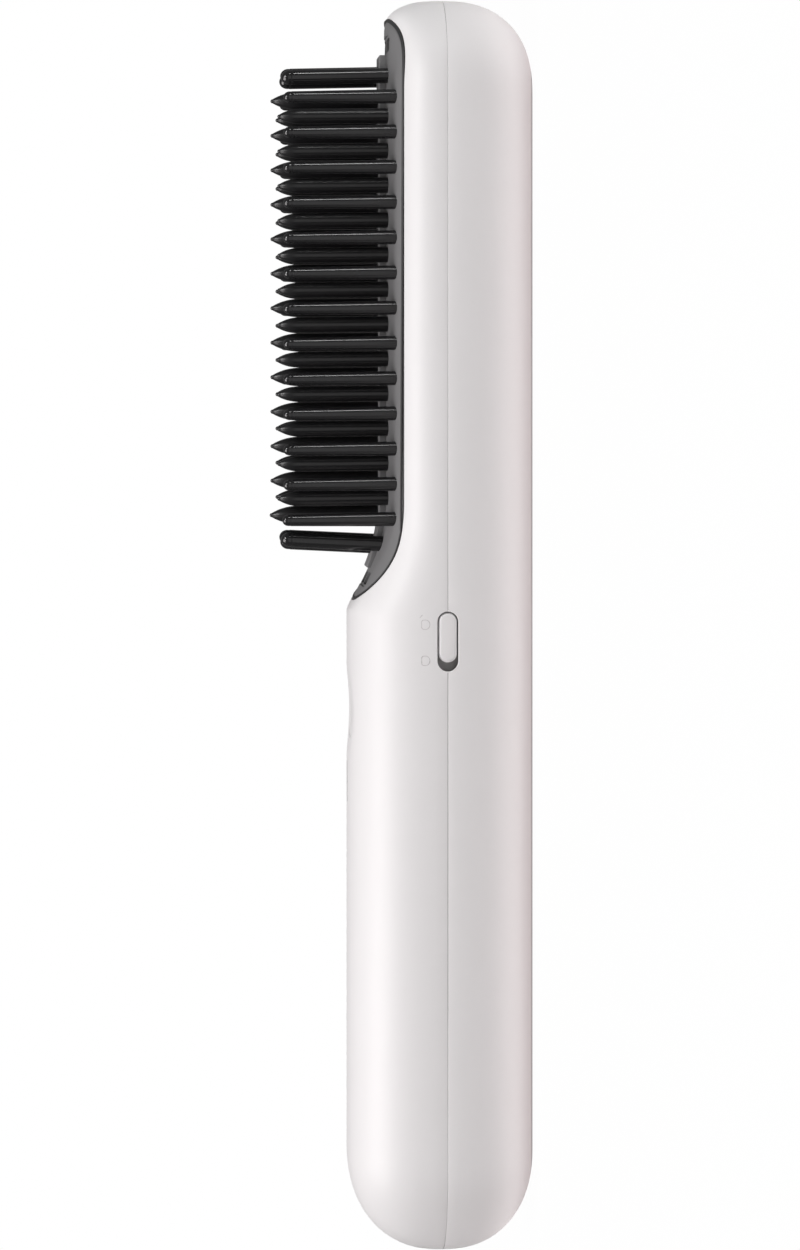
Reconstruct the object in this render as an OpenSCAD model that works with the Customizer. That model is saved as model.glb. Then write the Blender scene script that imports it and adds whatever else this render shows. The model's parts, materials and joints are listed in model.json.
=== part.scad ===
// Cordless hair-straightening comb, lying on its back with the teeth up.
// +X runs towards the head, +Z along the teeth, and -Y is the side with the lock switch.
// The origin is under the middle of the body, on the surface that it lies on.

/* [Body] */
// Overall length, handle end to head end
body_l = 230; // [222:1:260]
// Overall width, side to side
body_w = 38; // [36:0.5:42]
// Depth of the handle, back to front
handle_d = 33.9; // [33:0.1:38]
// Depth of the head, back to front, where the comb sits
head_d = 27.1; // [26:0.1:29]
// Height of the parting plane above the back
split_z = 16.6; // [16:0.1:17.5]
// Squareness of the oval cross-section, where 2 is an ellipse
squareness = 2.6; // [2.3:0.1:2.8]
// How deep the back is flattened, so that the comb lies steady
flat_depth = 0.2; // [0.1:0.05:0.3]
// Thickness of the moulded shells
wall = 2; // [1.6:0.1:2.2]
// Length of the rounded handle end
tail_l = 18.6; // [15:0.1:20]
// Length of the rounded head end, behind the parting plane
tip_l = 17.5; // [16:0.1:19]
// Length of the rounded head end, in front of the parting plane
tip_front_l = 5.5; // [5:0.1:6.5]
// Length of the neck, where the handle's depth runs out to the head's
neck_l = 20; // [17:0.5:24]

/* [Comb] */
// White rim left between the comb base and the head end
tip_rim = 3.3; // [3:0.1:4]
// Length of the comb base
opening_l = 107.1; // [106:0.1:109]
// Width of the comb base
opening_w = 30.2; // [29:0.1:30.8]
// Thickness of the comb base
base_t = 2.2; // [1.8:0.1:2.4]
// How far the comb base lies below the body's own surface
base_drop = 0.15; // [0.05:0.05:0.3]
// Height of the raised ridge along the middle of the base
ridge_h = 1.3; // [0.8:0.1:1.6]
// Width of that ridge
ridge_w = 7.6; // [6.6:0.1:7.8]
// Distance between neighbouring teeth of a row
tooth_pitch = 6.36; // [6:0.01:6.4]
// Distance between neighbouring rows
row_gap = 5.6; // [5.4:0.1:5.8]
// Length of a middle heated tooth above the ridge
heated_l = 19.8; // [14:0.1:24]
// How much lower the side rows of heated teeth end
side_drop = 1.1; // [0.6:0.1:1.4]
// Radius of a heated tooth
heated_r = 1.45; // [1.2:0.05:1.5]
// Length of a guard tooth above the base
guard_l = 20.2; // [14:0.1:24]
// Radius of a guard tooth at its foot
guard_r = 1.3; // [1.1:0.05:1.4]
// How far the guard rows start before the heated rows, at the neck
guard_lead = 0.6; // [0:0.1:1.2]
// Radius of an end-row tooth at its foot
end_tooth_r = 1.4; // [1.2:0.05:1.5]
// Height of the end rows' tips above the ridge
end_tooth_l = 18; // [14:0.1:20]
// Lean of the end row next to the neck, in degrees
neck_lean = 2.8; // [0:0.1:4]
// Lean of the end row next to the head, in degrees
head_lean = 1.3; // [0:0.1:3]

/* [Controls] */
// Distance from the comb base back to the power button's axis
button_back = 20.6; // [20:0.1:24]
// Radius of the power button
button_r = 4.8; // [4:0.1:5.2]
// Travel of the power button
button_travel = 0.4; // [0.3:0.05:0.5]
// Length of the thumb dish
dish_l = 15.8; // [14:0.1:18]
// Depth of the thumb dish
dish_depth = 0.75; // [0.5:0.05:0.9]
// Distance from the comb base back to the middle of the lock slot
lock_back = 6.65; // [6.2:0.05:7.2]
// Length of the lock knob
knob_l = 9; // [8:0.1:9.4]
// Width of the lock knob
knob_w = 3.35; // [2.8:0.05:3.6]
// Travel of the lock knob
lock_travel = 1.4; // [1:0.1:1.6]
// Width of the light window
lens_w = 2.2; // [1.6:0.1:2.6]
// Length of the light window
lens_l = 8; // [6:0.1:9]

/* [Cell and charging] */
// Room between the control board and the front of the handle
button_room = 7.7; // [7.5:0.1:8.5]
// Distance from the cell to the comb base, where the switches are
switch_room = 27.4; // [27.4:0.1:32]
// Distance from the handle end to the cell
cell_start = 22; // [21.5:0.1:24]
// Thickness of the foam strip under the cell
pad_t = 0.8; // [0.6:0.1:0.9]
// Width of the charging inlet
inlet_w = 8.94; // [8.94:0.01:8.96]
// Height of the charging inlet
inlet_h = 3.26; // [3.2:0.01:3.3]

/* [Hidden] */

$fn = 48;
end_power = 2.2;        // roundness of the ends in plan and at the handle
tip_power = 2.4;        // roundness of the head end seen from the side
neck_power = 0.65;      // how early the neck falls away from the handle
outline_power = 2.5;    // roundness of the comb base's two ends
cap_u = 0.9995;         // the ends stop at this share of their length, on a tiny flat
end_rings = 8;          // rings along each rounded end
neck_rings = 9;         // rings along the neck
arc_steps = 20;         // steps round half a cross-section
outline_steps = 7;      // steps round a quarter of the comb base's ends
fit_gap = 0.25;         // round the comb base, in its opening
slip_gap = 0.2;         // between a moving piece and its guide
seat_gap = 0.1;         // between an inner piece and its seat
seam_h = 1.2;           // how far the seam's lip stands above and below the parting plane
seam_root = 0.15;       // how far the lip's inner face lies inside the wall
over = 1;               // how far a cut runs past what it cuts

tail_x = -body_l / 2;
tip_x = body_l / 2;
half_body_w = body_w / 2;

// Comb base
opening_x1 = tip_x - tip_rim;
opening_x0 = opening_x1 - opening_l;
opening_tip_l = 12;
opening_neck_l = 13;
ledge_t = 1.5;
ledge_w = 1;
ledge_grip = 1.8;
neck_lead = 2;
neck_x = opening_x0 - neck_lead;
neck_end_x = neck_x + neck_l;
ledge_z = surface_z((opening_x0 + opening_x1) / 2, opening_w / 2, wall);
row_lead = 15.4;
row_x = opening_x0 + row_lead;
ridge_lead = 6;
ridge_trail = 6.9;
ridge_x0 = opening_x0 + ridge_lead;
ridge_x1 = opening_x1 - ridge_trail;
ridge_fall = 0.5;
slot_l = 2.4;
slot_w = 6.5;
slot_rib = 1;
slot_lead = 0.6;
slot_xs = [ridge_x0 - slot_lead - slot_l / 2, ridge_x1 + slot_lead + slot_l / 2];
slot_rim = 1;
slot_rim_depth = 0.35;
end_row_lead = 5;
end_row_trail = 4.6;
end_row_rest = 1.1;
row_room = ridge_x1 - end_row_trail - end_row_rest - row_x;
tooth_count = floor(row_room / tooth_pitch) + 1;
last_x = row_x + (tooth_count - 1) * tooth_pitch;
guard_pitch = tooth_pitch + guard_lead / (tooth_count - 1);
point_l = 5.2;
tooth_tip_r = 0.3;
root_l = 2.4;
guard_taper = 0.79;
end_taper = 0.96;
guard_dome = 1.1;
socket_depth = 1.2;
hook_l = 5;
hook_t = 1.1;
hook_reach = 0.7;
hook_root = 0.6;
hook_xs = [for (share = [0.14, 0.38, 0.62, 0.86]) opening_x0 + share * opening_l];

// Heating stack, from the plate down to the clamp
plate_t = 2;
plate_edge = 0.9;
plate_w = 2 * (row_gap + heated_r + plate_edge);
plate_lead = 1.1;
plate_trail = 0.6;
plate_x0 = slot_xs[0] + slot_l / 2 + plate_lead;
plate_x1 = slot_xs[1] - slot_l / 2 - plate_trail;
plate_top = surface_z(plate_x1, plate_w / 2, base_drop + base_t) - seat_gap;
plate_z = plate_top - plate_t;
heater_t = 1.6;
heater_w = 10;
heater_end = 8.5;
mica_t = 0.5;
clamp_t = 1.2;
clamp_w = 10.6;
clamp_end = 0.5;
clamp_corner = 2;
plate_corner = 3;
clamp_z = plate_z - heater_t - mica_t - clamp_t;
stack_screw_edge = 2.2;
stack_screw_xs = [plate_x0 + stack_screw_edge, plate_x1 - stack_screw_edge];
screw_r = 0.9;
screw_head_r = 1.8;
screw_head_h = 1.2;
screw_bite = 2.4;
screw_end = 0.5;
screw_gap = 0.06;
post_r = 2.3;
sensor_r = 1.1;
sensor_l = 4;
sensor_y = plate_w / 2 - sensor_r;
sensor_lead = 15;
sensor_x = plate_x0 + sensor_lead;
fuse_l = 9;
fuse_x = sensor_x + fuse_l;

// Cell, frame and boards: the cell fills the room that the rest leaves
back_in = wall - flat_depth;
tunnel_gap = 0.25;
tunnel_t = 1.2;
roof_t = 0.95;
deck_t = 1.5;
board_t = 1.2;
board_top = handle_d - button_room;
deck_z = board_top - board_t;
cell_r = (deck_z - roof_t - tunnel_gap - pad_t - back_in) / 2;
cell_z = back_in + pad_t + cell_r;
cell_x0 = tail_x + cell_start;
cell_x1 = opening_x0 - switch_room;
tunnel_r = cell_r + tunnel_gap;
tunnel_foot = 0.8 * cell_r;
deck_w = 25;
frame_lead = 1;
frame_rest = 0.5;
wall_t = 1.5;
foot_z = 8;
foot_l = 12;
foot_w = 18;
cable_hole_r = 8;
boss_lead = 8;
boss_x = cell_x1 + boss_lead;
boss_r = 2.6;
boss_foot = 0.35 * wall;
charge_boss_r = 2;
rib_t = 1.4;
rib_z = 12;
rib_xs = [for (share = [0.1, 0.5, 0.9]) cell_x0 + share * (cell_x1 - cell_x0)];
board_edge = 0.5;
board_w = deck_w - 2 * board_edge;
board_lead = 18;
board_x0 = cell_x0 + board_lead;
board_end = 1.6;
board_x1 = opening_x0 - board_end;
board_rest = 2.8;
deck_x1 = board_x1 - board_rest;
board_screw_lead = 3;
board_screw_trail = 4;
board_screw_x = [board_x0 + board_screw_lead, deck_x1 - board_screw_trail];
board_screw_y = board_w / 2 - screw_head_r;
lead_slot_x0 = cell_x1 + wall_t + board_edge;
lead_slot_l = 3.5;
lead_slot_x = [lead_slot_x0, lead_slot_x0 + lead_slot_l];
lead_slot_y = [0.1 * deck_w, 0.26 * deck_w];
tab_t = 0.3;
tab_w = 6;
tab_h = 10;
tab_lift = 1;
pad_w = 6;
pad_end = 6;
pad_gap = 0.03;
inductor_r = 3.4;
inductor_h = 2.8;
capacitor_r = 2.2;
capacitor_h = 3.4;
chip_l = 5;
chip_h = 1;
transistor_h = 1.4;
part_y = board_w / 5;

// Power button and light window
button_x = opening_x0 - button_back;
dish_r = (dish_l * dish_l / 4 + dish_depth * dish_depth) / (2 * dish_depth);
flange_r = button_r + 1.6;
flange_t = 0.8;
guide_r = flange_r + 0.3;
guide_z = surface_z(button_x, guide_r, wall) - 0.05;
flange_top = guide_z - slip_gap;
flange_bottom = flange_top - flange_t;
guide_depth = 2;
guide_t = 1.2;
tact_w = 6;
tact_gap = 0.35;
tact_top = flange_bottom - button_travel - tact_gap;
plunger_r = 1.65;
plunger_l = 1.9;
lens_back = 13;
lens_x = button_x - lens_back;
led_l = 1.6;
led_w = 0.8;
led_h = 0.7;
led_pitch = 2.6;
lens_lift = 0.3;
lens_flange = 1;
lens_flange_t = 0.9;
lens_seat_z = surface_z(lens_x, lens_w / 2 + lens_flange, wall) - 0.05;
lens_foot_z = board_top + led_h + lens_lift;
part_step = (lens_x - lens_l / 2 - lens_flange - board_x0) / 5;

// Lock switch, in the side wall
lock_x = opening_x0 - lock_back;
knob_gap = 0.2;
slot_open_l = knob_l + lock_travel + 2 * knob_gap;
slot_open_w = knob_w + 2 * knob_gap;
knob_x = lock_x + lock_travel / 2;
trim_inset = 0.05;
inner_y = -(half_body_w - wall);
slider_cover = 0.5;
slider_flange_l = slot_open_l + lock_travel + 2 * slider_cover;
slider_flange_w = slot_open_w + 2 * slider_cover;
slider_flange_y = inner_y + 0.4;
slider_flange_t = 1;
fork_t = 1.4;
lever_w = 1.2;
lever_h = 1.6;
switch_depth = 8.3;
switch_wall_y = inner_y + switch_depth;
boss_y = -switch_wall_y - wall_t - screw_head_r - slip_gap;
lock_board_t = 1.2;
switch_d = 3.5;
switch_l = 8.6;
switch_h = 4.4;
switch_front_y = switch_wall_y - lock_board_t - switch_d;
fork_y = switch_front_y - 0.5;
lever_pocket = 1.5;
lock_board_l = 10.8;
lock_board_h = 6.8;

// Charging inlet
inlet_recess = 0.9;
inlet_l = 7.3;
inlet_wall = 0.35;
inlet_hole_gap = 0.18;
inlet_back = 0.6;
tongue_w = 6.2;
tongue_t = 0.7;
tongue_lead = 1.2;
charge_lead = 4.2;
charge_rest = 3.2;
charge_x0 = tail_x + charge_lead;
charge_x1 = cell_x0 - charge_rest;
charge_w = 14;
charge_t = 1;
charge_z = split_z - inlet_h / 2 - charge_t;
charge_post_back = 2.8;
charge_post_x = charge_x1 - charge_post_back;
charge_post_y = 4.3;

// Inner wires
power_lead_r = 0.75;
battery_lead_r = 0.7;
charge_lead_r = 0.55;
sensor_lead_r = 0.45;
lock_lead_r = 0.4;
lead_drop = 4;
lead_end = 1.2;

shell_white = "#f4ebe9";
base_grey = "#8d8d90";
tooth_black = "#2c2c2f";
metal = "#b9bcc0";
board_green = "#2f6b4a";

// ---- curves of the body ----

// 1 where a rounded end starts, falling to 0 at its tip
function dome(u, power) = pow(1 - pow(min(max(u, 0), cap_u), power), 1 / power);

function tail_dome(x, inset) =
    dome((tail_x + tail_l - x) / (tail_l - inset), end_power);

function tip_dome(x, length, inset, power) =
    dome((x - tip_x + length) / (length - inset), power);

// Share of the fall from the handle's depth to the head's
function neck_fall(t) =
    let (u = pow(min(max(t, 0), 1), neck_power))
    u * u * (3 - 2 * u);

function front_z(x) = handle_d - (handle_d - head_d) * neck_fall((x - neck_x) / neck_l);

function half_w(x, inset) =
    (half_body_w - inset) * tail_dome(x, inset) * tip_dome(x, tip_l, inset, end_power);

function front_h(x, inset) =
    (front_z(x) - split_z - inset) * tail_dome(x, inset)
    * tip_dome(x, tip_front_l, inset, tip_power);

function back_h(x, inset) =
    (split_z + flat_depth - inset) * tail_dome(x, inset)
    * tip_dome(x, tip_l, inset, tip_power);

// Share of the section's depth that is left at a share of its width
function bow(share) = pow(1 - pow(min(abs(share), 1), squareness), 1 / squareness);

function surface_z(x, y, inset) = split_z + front_h(x, inset) * bow(y / half_w(x, inset));
function back_surface_z(x, y, inset) = split_z - back_h(x, inset) * bow(y / half_w(x, inset));

// Slope of the comb base along the middle, in degrees
function crown_pitch(x) =
    -atan((surface_z(x + 0.5, 0, base_drop) - surface_z(x - 0.5, 0, base_drop)));

function on_ridge(x, y) = abs(y) < ridge_w / 2 && x > ridge_x0 && x < ridge_x1;

// Height of the ridge's top, which runs out a little towards the neck
function ridge_z(x) =
    surface_z(x, 0, base_drop) + ridge_h
    - ridge_fall * max(0, (neck_end_x - x) / (neck_end_x - ridge_x0));

// Height of the comb base's top under a tooth
function crown_z(x, y) = on_ridge(x, y) ? ridge_z(x) : surface_z(x, y, base_drop);

function stations(inset) = concat(
    [for (i = [0:end_rings])
        tail_x + tail_l - (tail_l - inset) * sin(90 * (end_rings - i) / end_rings)],
    [for (i = [0:neck_rings]) neck_x + neck_l * pow(i / neck_rings, 1.3)],
    [for (i = [0:end_rings])
        tip_x - tip_l + (tip_l - inset) * sin(90 * i / end_rings)]
);

// Half a cross-section as [y, z] points, from +y over the outside to -y
function half_section(x, side, inset) =
    let (w = half_w(x, inset), h = side > 0 ? front_h(x, inset) : back_h(x, inset))
    [for (j = [0:arc_steps])
        let (a = 180 * j / arc_steps)
        [w * sign(cos(a)) * pow(abs(cos(a)), 2 / squareness),
         split_z + side * h * pow(sin(a), 2 / squareness)]];

function half_ring(x, side, inset, skirt) =
    let (w = half_w(x, inset))
    concat(
        [for (p = half_section(x, side, inset)) [x, p[0], p[1]]],
        skirt > 0 ? [[x, -w, split_z - side * skirt], [x, w, split_z - side * skirt]] : []
    );

// Outline of the body on the parting plane
function plan_outline(inset) =
    let (xs = stations(inset))
    concat(
        [for (x = xs) [x, half_w(x, inset)]],
        [for (i = [len(xs) - 1:-1:0]) [xs[i], -half_w(xs[i], inset)]]
    );

function round_end(angle) = pow(abs(angle), 2 / outline_power);

// Outline of the comb base in plan, drawn in by inset
function opening_outline(inset) =
    let (w = opening_w / 2 - inset, step = 90 / outline_steps)
    concat(
        [for (a = [-90:step:90.01])
            [opening_x1 - opening_tip_l + (opening_tip_l - inset) * round_end(cos(a)),
             w * sign(sin(a)) * round_end(sin(a))]],
        [for (a = [90:step:270.01])
            [opening_x0 + opening_neck_l - (opening_neck_l - inset) * round_end(cos(a)),
             w * sign(sin(a)) * round_end(sin(a))]]
    );

function heated_places() = concat(
    [for (i = [0:tooth_count - 1]) [row_x + i * tooth_pitch, 0]],
    [for (side = [-1, 1], i = [0:tooth_count - 2])
        [row_x + (i + 0.5) * tooth_pitch, side * row_gap]]
);

function guard_places() =
    [for (side = [-1, 1], i = [0:tooth_count - 1])
        [row_x - guard_lead + i * guard_pitch, side * 2 * row_gap]];

function end_places() =
    [for (y = [-row_gap, 0, row_gap], x = [row_x - end_row_lead, last_x + end_row_trail])
        [x, y]];

// ---- shared shapes ----

// Closed solid through a list of rings with equally many points
module loft(rings, flip) {
    n = len(rings);
    m = len(rings[0]);
    sides = [for (i = [0:n - 2], j = [0:m - 1])
        let (a = i * m + j, b = i * m + (j + 1) % m)
        each [[a, a + m, b + m], [a, b + m, b]]];
    caps = [[for (j = [0:m - 1]) j], [for (j = [m - 1:-1:0]) (n - 1) * m + j]];
    faces = concat(sides, caps);
    polyhedron(
        points = [for (ring = rings) each ring],
        faces = flip ? [for (f = faces) [for (k = [len(f) - 1:-1:0]) f[k]]] : faces,
        convexity = 4
    );
}

// Half of the body's outer form, drawn in by inset: side 1 is the front, -1 the back
module half_body(side, inset = 0, skirt = 0) {
    loft([for (x = stations(inset)) half_ring(x, side, inset, skirt)], side < 0);
}

// Tube along a few points, with eight sides
module lead(points, r) {
    n = len(points);
    dirs = [for (i = [0:n - 1])
        let (a = points[max(i - 1, 0)], b = points[min(i + 1, n - 1)])
        (b - a) / norm(b - a)];
    rings = [for (i = [0:n - 1])
        let (side_raw = cross(dirs[i], [0.31, 0.52, 0.79]),
             side = side_raw / norm(side_raw),
             up = cross(dirs[i], side))
        [for (k = [0:7]) points[i] + r * (cos(45 * k) * side + sin(45 * k) * up)]];
    loft(rings, true);
}

// Draws a [y, z] outline and pulls it along +X
module along_x(x, length) {
    translate([x, 0, 0])
        rotate([90, 0, 90])
            linear_extrude(length)
                children();
}

module block(x, y, z) {
    translate([x[0], y[0], z[0]])
        cube([x[1] - x[0], y[1] - y[0], z[1] - z[0]]);
}

module pill(length, width) {
    square([length - width, width], center = true);
    for (side = [-1, 1])
        translate([side * (length - width) / 2, 0])
            circle(d = width);
}

// Slot of the lock knob, through the -Y wall
module lock_slot(depth) {
    translate([lock_x, -half_body_w + depth, split_z])
        rotate([90, 0, 0])
            linear_extrude(depth + over)
                pill(slot_open_l, slot_open_w);
}

module inlet_outline(gap) {
    pill(inlet_w + 2 * gap, inlet_h + 2 * gap);
}

module inlet_hole() {
    along_x(tail_x - over, wall + 2 * over)
        translate([0, split_z])
            inlet_outline(inlet_hole_gap);
}

// Screw with its head down, driven upwards to a height
module screw(x, y, head_z, length) {
    translate([x, y, head_z - screw_head_h])
        cylinder(r = screw_head_r, h = screw_head_h);
    translate([x, y, head_z - over / 2])
        cylinder(r = screw_r, h = length + over / 2);
}

// Screw with its head up, driven down into a boss
module screw_down(x, y, head_z, length) {
    translate([0, 0, 2 * head_z])
        mirror([0, 0, 1])
            screw(x, y, head_z, length);
}

// Blind hole for a screw, down from the top of its boss
module screw_hole(x, y, top) {
    translate([x, y, top - screw_bite - screw_end])
        cylinder(r = screw_r + screw_gap, h = screw_bite + screw_end + over);
}

// The thumb dish is a shallow hollow, level from side to side
module dish_roll(drop) {
    translate([button_x, 0, handle_d - dish_depth - drop + dish_r])
        rotate([90, 0, 0])
            cylinder(r = dish_r, h = body_w, center = true, $fn = 200);
}

module at_crown(x) {
    translate([x, 0, surface_z(x, 0, base_drop)])
        rotate([0, crown_pitch(x), 0])
            children();
}

// ---- shells ----

module shell_half(side) {
    difference() {
        half_body(side);
        half_body(side, wall, over);
    }
}

module seam_lip() {
    translate([0, 0, split_z - seam_h])
        linear_extrude(2 * seam_h)
            difference() {
                polygon(plan_outline(wall / 2));
                polygon(plan_outline(wall - seam_root));
            }
}

module cradle_ribs() {
    for (x = rib_xs)
        along_x(x - rib_t / 2, rib_t)
            difference() {
                intersection() {
                    polygon(half_section(x, -1, wall / 2));
                    translate([-half_body_w, 0])
                        square([body_w, rib_z]);
                }
                translate([0, cell_z])
                    circle(r = tunnel_r + tunnel_t + slip_gap);
            }
}

module back_boss(x, y, r, top) {
    foot = back_surface_z(x, abs(y) + r, boss_foot);
    translate([x, y, foot])
        cylinder(r = r, h = top - foot);
}

module back_shell() {
    color(shell_white)
        difference() {
            union() {
                shell_half(-1);
                seam_lip();
                cradle_ribs();
                for (side = [-1, 1]) {
                    back_boss(boss_x, side * boss_y, boss_r, foot_z);
                    back_boss(charge_post_x, side * charge_post_y, charge_boss_r, charge_z);
                }
            }
            translate([-body_l, -body_w, -body_w])
                cube([2 * body_l, 2 * body_w, body_w]);
            lock_slot(wall + over);
            inlet_hole();
            for (side = [-1, 1]) {
                screw_hole(boss_x, side * boss_y, foot_z);
                screw_hole(charge_post_x, side * charge_post_y, charge_z);
            }
        }
}

module base_ledge() {
    intersection() {
        half_body(1, wall / 2);
        translate([0, 0, ledge_z - ledge_t])
            linear_extrude(ledge_t)
                difference() {
                    polygon(opening_outline(-ledge_grip));
                    polygon(opening_outline(ledge_w));
                }
    }
}

module button_guide() {
    translate([button_x, 0, guide_z - guide_depth])
        cylinder(r = guide_r + guide_t, h = guide_depth + wall / 3);
}

module front_shell() {
    color(shell_white)
        difference() {
            union() {
                difference() {
                    shell_half(1);
                    translate([0, 0, ledge_z - ledge_t - over])
                        linear_extrude(handle_d)
                            polygon(opening_outline(0));
                }
                base_ledge();
                button_guide();
            }
            translate([0, 0, split_z - over])
                linear_extrude(seam_h + seat_gap + over)
                    polygon(plan_outline(wall / 2 - seat_gap));
            lock_slot(wall + over);
            inlet_hole();
            dish_roll(0);
            translate([button_x, 0, split_z])
                cylinder(r = button_r + slip_gap, h = handle_d);
            translate([button_x, 0, guide_z - guide_depth - over])
                cylinder(r = guide_r, h = guide_depth + over);
            translate([lens_x, 0, split_z])
                linear_extrude(handle_d)
                    pill(lens_l + 2 * seat_gap, lens_w + 2 * seat_gap);
        }
}

// ---- comb ----

module base_skin() {
    difference() {
        intersection() {
            half_body(1, base_drop);
            translate([0, 0, ledge_z])
                linear_extrude(handle_d)
                    polygon(opening_outline(fit_gap));
        }
        intersection() {
            half_body(1, base_drop + base_t);
            translate([0, 0, split_z])
                linear_extrude(handle_d)
                    polygon(opening_outline(fit_gap + base_t));
        }
    }
}

module base_ridge() {
    bend_l = neck_end_x - ridge_x0;
    xs = concat([for (i = [0:5]) ridge_x0 + i * bend_l / 5], [ridge_x1]);
    translate([0, ridge_w / 2, 0])
        rotate([90, 0, 0])
            linear_extrude(ridge_w)
                polygon(concat(
                    [for (x = xs) [x, ridge_z(x)]],
                    [for (i = [len(xs) - 1:-1:0]) [xs[i], surface_z(xs[i], 0, base_drop) - over]]
                ));
}

module base_hook(x, side) {
    y = opening_w / 2 - fit_gap - base_t;
    z = ledge_z - ledge_t - seat_gap;
    mirror([0, side > 0 ? 0 : 1, 0]) {
        block([x - hook_l / 2, x + hook_l / 2], [y, y + hook_t], [z - hook_t, ledge_z + hook_root]);
        block([x - hook_l / 2, x + hook_l / 2], [y, y + hook_t + hook_reach], [z - hook_t, z]);
    }
}

module end_slots(x) {
    at_crown(x) {
        for (side = [-1, 1])
            translate([-slot_l / 2, side > 0 ? slot_rib / 2 : -slot_rib / 2 - slot_w, -slot_w])
                cube([slot_l, slot_w, 2 * slot_w]);
        translate([0, 0, -slot_rim_depth])
            linear_extrude(slot_w)
                rotate(90)
                    pill(2 * slot_w + slot_rib + 2 * slot_rim, slot_l + slot_rim);
    }
}

module comb_base() {
    color(base_grey)
        difference() {
            union() {
                base_skin();
                base_ridge();
                for (x = stack_screw_xs)
                    translate([x, 0, plate_top])
                        cylinder(r = post_r, h = surface_z(x, 0, base_drop + base_t / 4) - plate_top);
                for (x = hook_xs, side = [-1, 1])
                    base_hook(x, side);
            }
            for (p = heated_places())
                translate([p[0], p[1], split_z])
                    cylinder(r = heated_r + seat_gap, h = handle_d);
            for (p = guard_places())
                translate([p[0], p[1], crown_z(p[0], p[1]) - socket_depth])
                    cylinder(r = guard_r + seat_gap / 2, h = handle_d);
            for (p = end_places())
                end_place(p)
                    cylinder(r = end_tooth_r + seat_gap / 2, h = handle_d);
            for (x = slot_xs)
                end_slots(x);
            for (x = stack_screw_xs)
                translate([x, 0, plate_top - over])
                    cylinder(r = screw_r + screw_gap, h = screw_bite + over);
        }
}

// A heated tooth: a shank with an ogive point
module heated_tooth(length) {
    shank = length - point_l;
    rotate_extrude()
        polygon(concat(
            [[0, 0], [heated_r, 0]],
            [for (i = [0:6])
                let (t = i / 6)
                [tooth_tip_r + (heated_r - tooth_tip_r) * (1 - t * t),
                 shank + (point_l - tooth_tip_r) * t]],
            [[0, length]]
        ));
}

// A guard tooth: straight at its root, then tapered, with a domed end
module guard_tooth(length, r, taper) {
    tip_r = r * taper;
    rotate_extrude()
        polygon(concat(
            [[0, 0], [r, 0], [r, root_l]],
            [for (a = [0:22.5:67.5])
                [tip_r * cos(a), length - tip_r * guard_dome * (1 - sin(a))]],
            [[0, length]]
        ));
}

function heated_top(p) =
    surface_z(p[0], 0, base_drop) + ridge_h + heated_l - (p[1] == 0 ? 0 : side_drop);

module heated_teeth() {
    color(tooth_black)
        for (p = heated_places())
            translate([p[0], p[1], plate_top])
                heated_tooth(heated_top(p) - plate_top);
}

// Foot of an end-row tooth: the two end rows lean towards each other
module end_place(p) {
    translate([p[0], p[1], crown_z(p[0], p[1]) - socket_depth])
        rotate([0, p[0] < row_x ? neck_lean : -head_lean, 0])
            children();
}

module guard_teeth() {
    color(tooth_black) {
        for (p = guard_places())
            translate([p[0], p[1], crown_z(p[0], p[1]) - socket_depth])
                guard_tooth(guard_l + socket_depth, guard_r, guard_taper);
        for (p = end_places())
            end_place(p)
                guard_tooth(end_length(p) + socket_depth, end_tooth_r, end_taper);
    }
}

// The end rows finish level, whatever they stand on
function end_length(p) = head_d - base_drop + ridge_h + end_tooth_l - crown_z(p[0], p[1]);

// ---- heating stack ----

module heating_plate() {
    color(metal)
        difference() {
            union() {
                translate([0, 0, plate_z])
                    linear_extrude(plate_t)
                        translate([(plate_x0 + plate_x1) / 2, 0])
                            pill_block(plate_x1 - plate_x0, plate_w, plate_corner);
                for (x = stack_screw_xs)
                    translate([x, 0, clamp_z + clamp_t])
                        cylinder(r = post_r, h = heater_t + mica_t + plate_t / 4);
            }
            for (x = stack_screw_xs)
                translate([x, 0, clamp_z])
                    cylinder(r = screw_r + screw_gap, h = handle_d);
        }
}

// Rectangle with rounded corners, made of exact arcs
module pill_block(length, width, r) {
    square([length - 2 * r, width], center = true);
    square([length, width - 2 * r], center = true);
    for (sx = [-1, 1], sy = [-1, 1])
        translate([sx * (length / 2 - r), sy * (width / 2 - r)])
            circle(r = r);
}

module ptc_heater() {
    color("#d8d2c4")
        block([plate_x0 + heater_end, plate_x1 - heater_end],
              [-heater_w / 2, heater_w / 2], [plate_z - heater_t, plate_z]);
}

module mica_sheet() {
    color("#c9b27a")
        block([plate_x0 + heater_end, plate_x1 - heater_end],
              [-heater_w / 2, heater_w / 2],
              [clamp_z + clamp_t, plate_z - heater_t]);
}

module heater_clamp() {
    color(metal)
        difference() {
            translate([(plate_x0 + plate_x1) / 2, 0, clamp_z])
                linear_extrude(clamp_t)
                    pill_block(plate_x1 - plate_x0 - 2 * clamp_end, clamp_w, clamp_corner);
            for (x = stack_screw_xs)
                translate([x, 0, clamp_z - over])
                    cylinder(r = screw_r + screw_gap, h = clamp_t + 2 * over);
        }
}

module plate_screws() {
    color(metal)
        for (x = stack_screw_xs)
            screw(x, 0, clamp_z, plate_top - clamp_z + screw_bite - screw_end);
}

module thermistor() {
    color("#30302f")
        translate([sensor_x, sensor_y, plate_z - sensor_r])
            rotate([0, 90, 0])
                cylinder(r = sensor_r, h = sensor_l);
}

module thermal_fuse() {
    color("#e8e4da")
        translate([fuse_x, sensor_y, plate_z - sensor_r])
            rotate([0, 90, 0])
                cylinder(r = sensor_r, h = fuse_l);
}

// ---- frame, cell and boards ----

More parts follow.
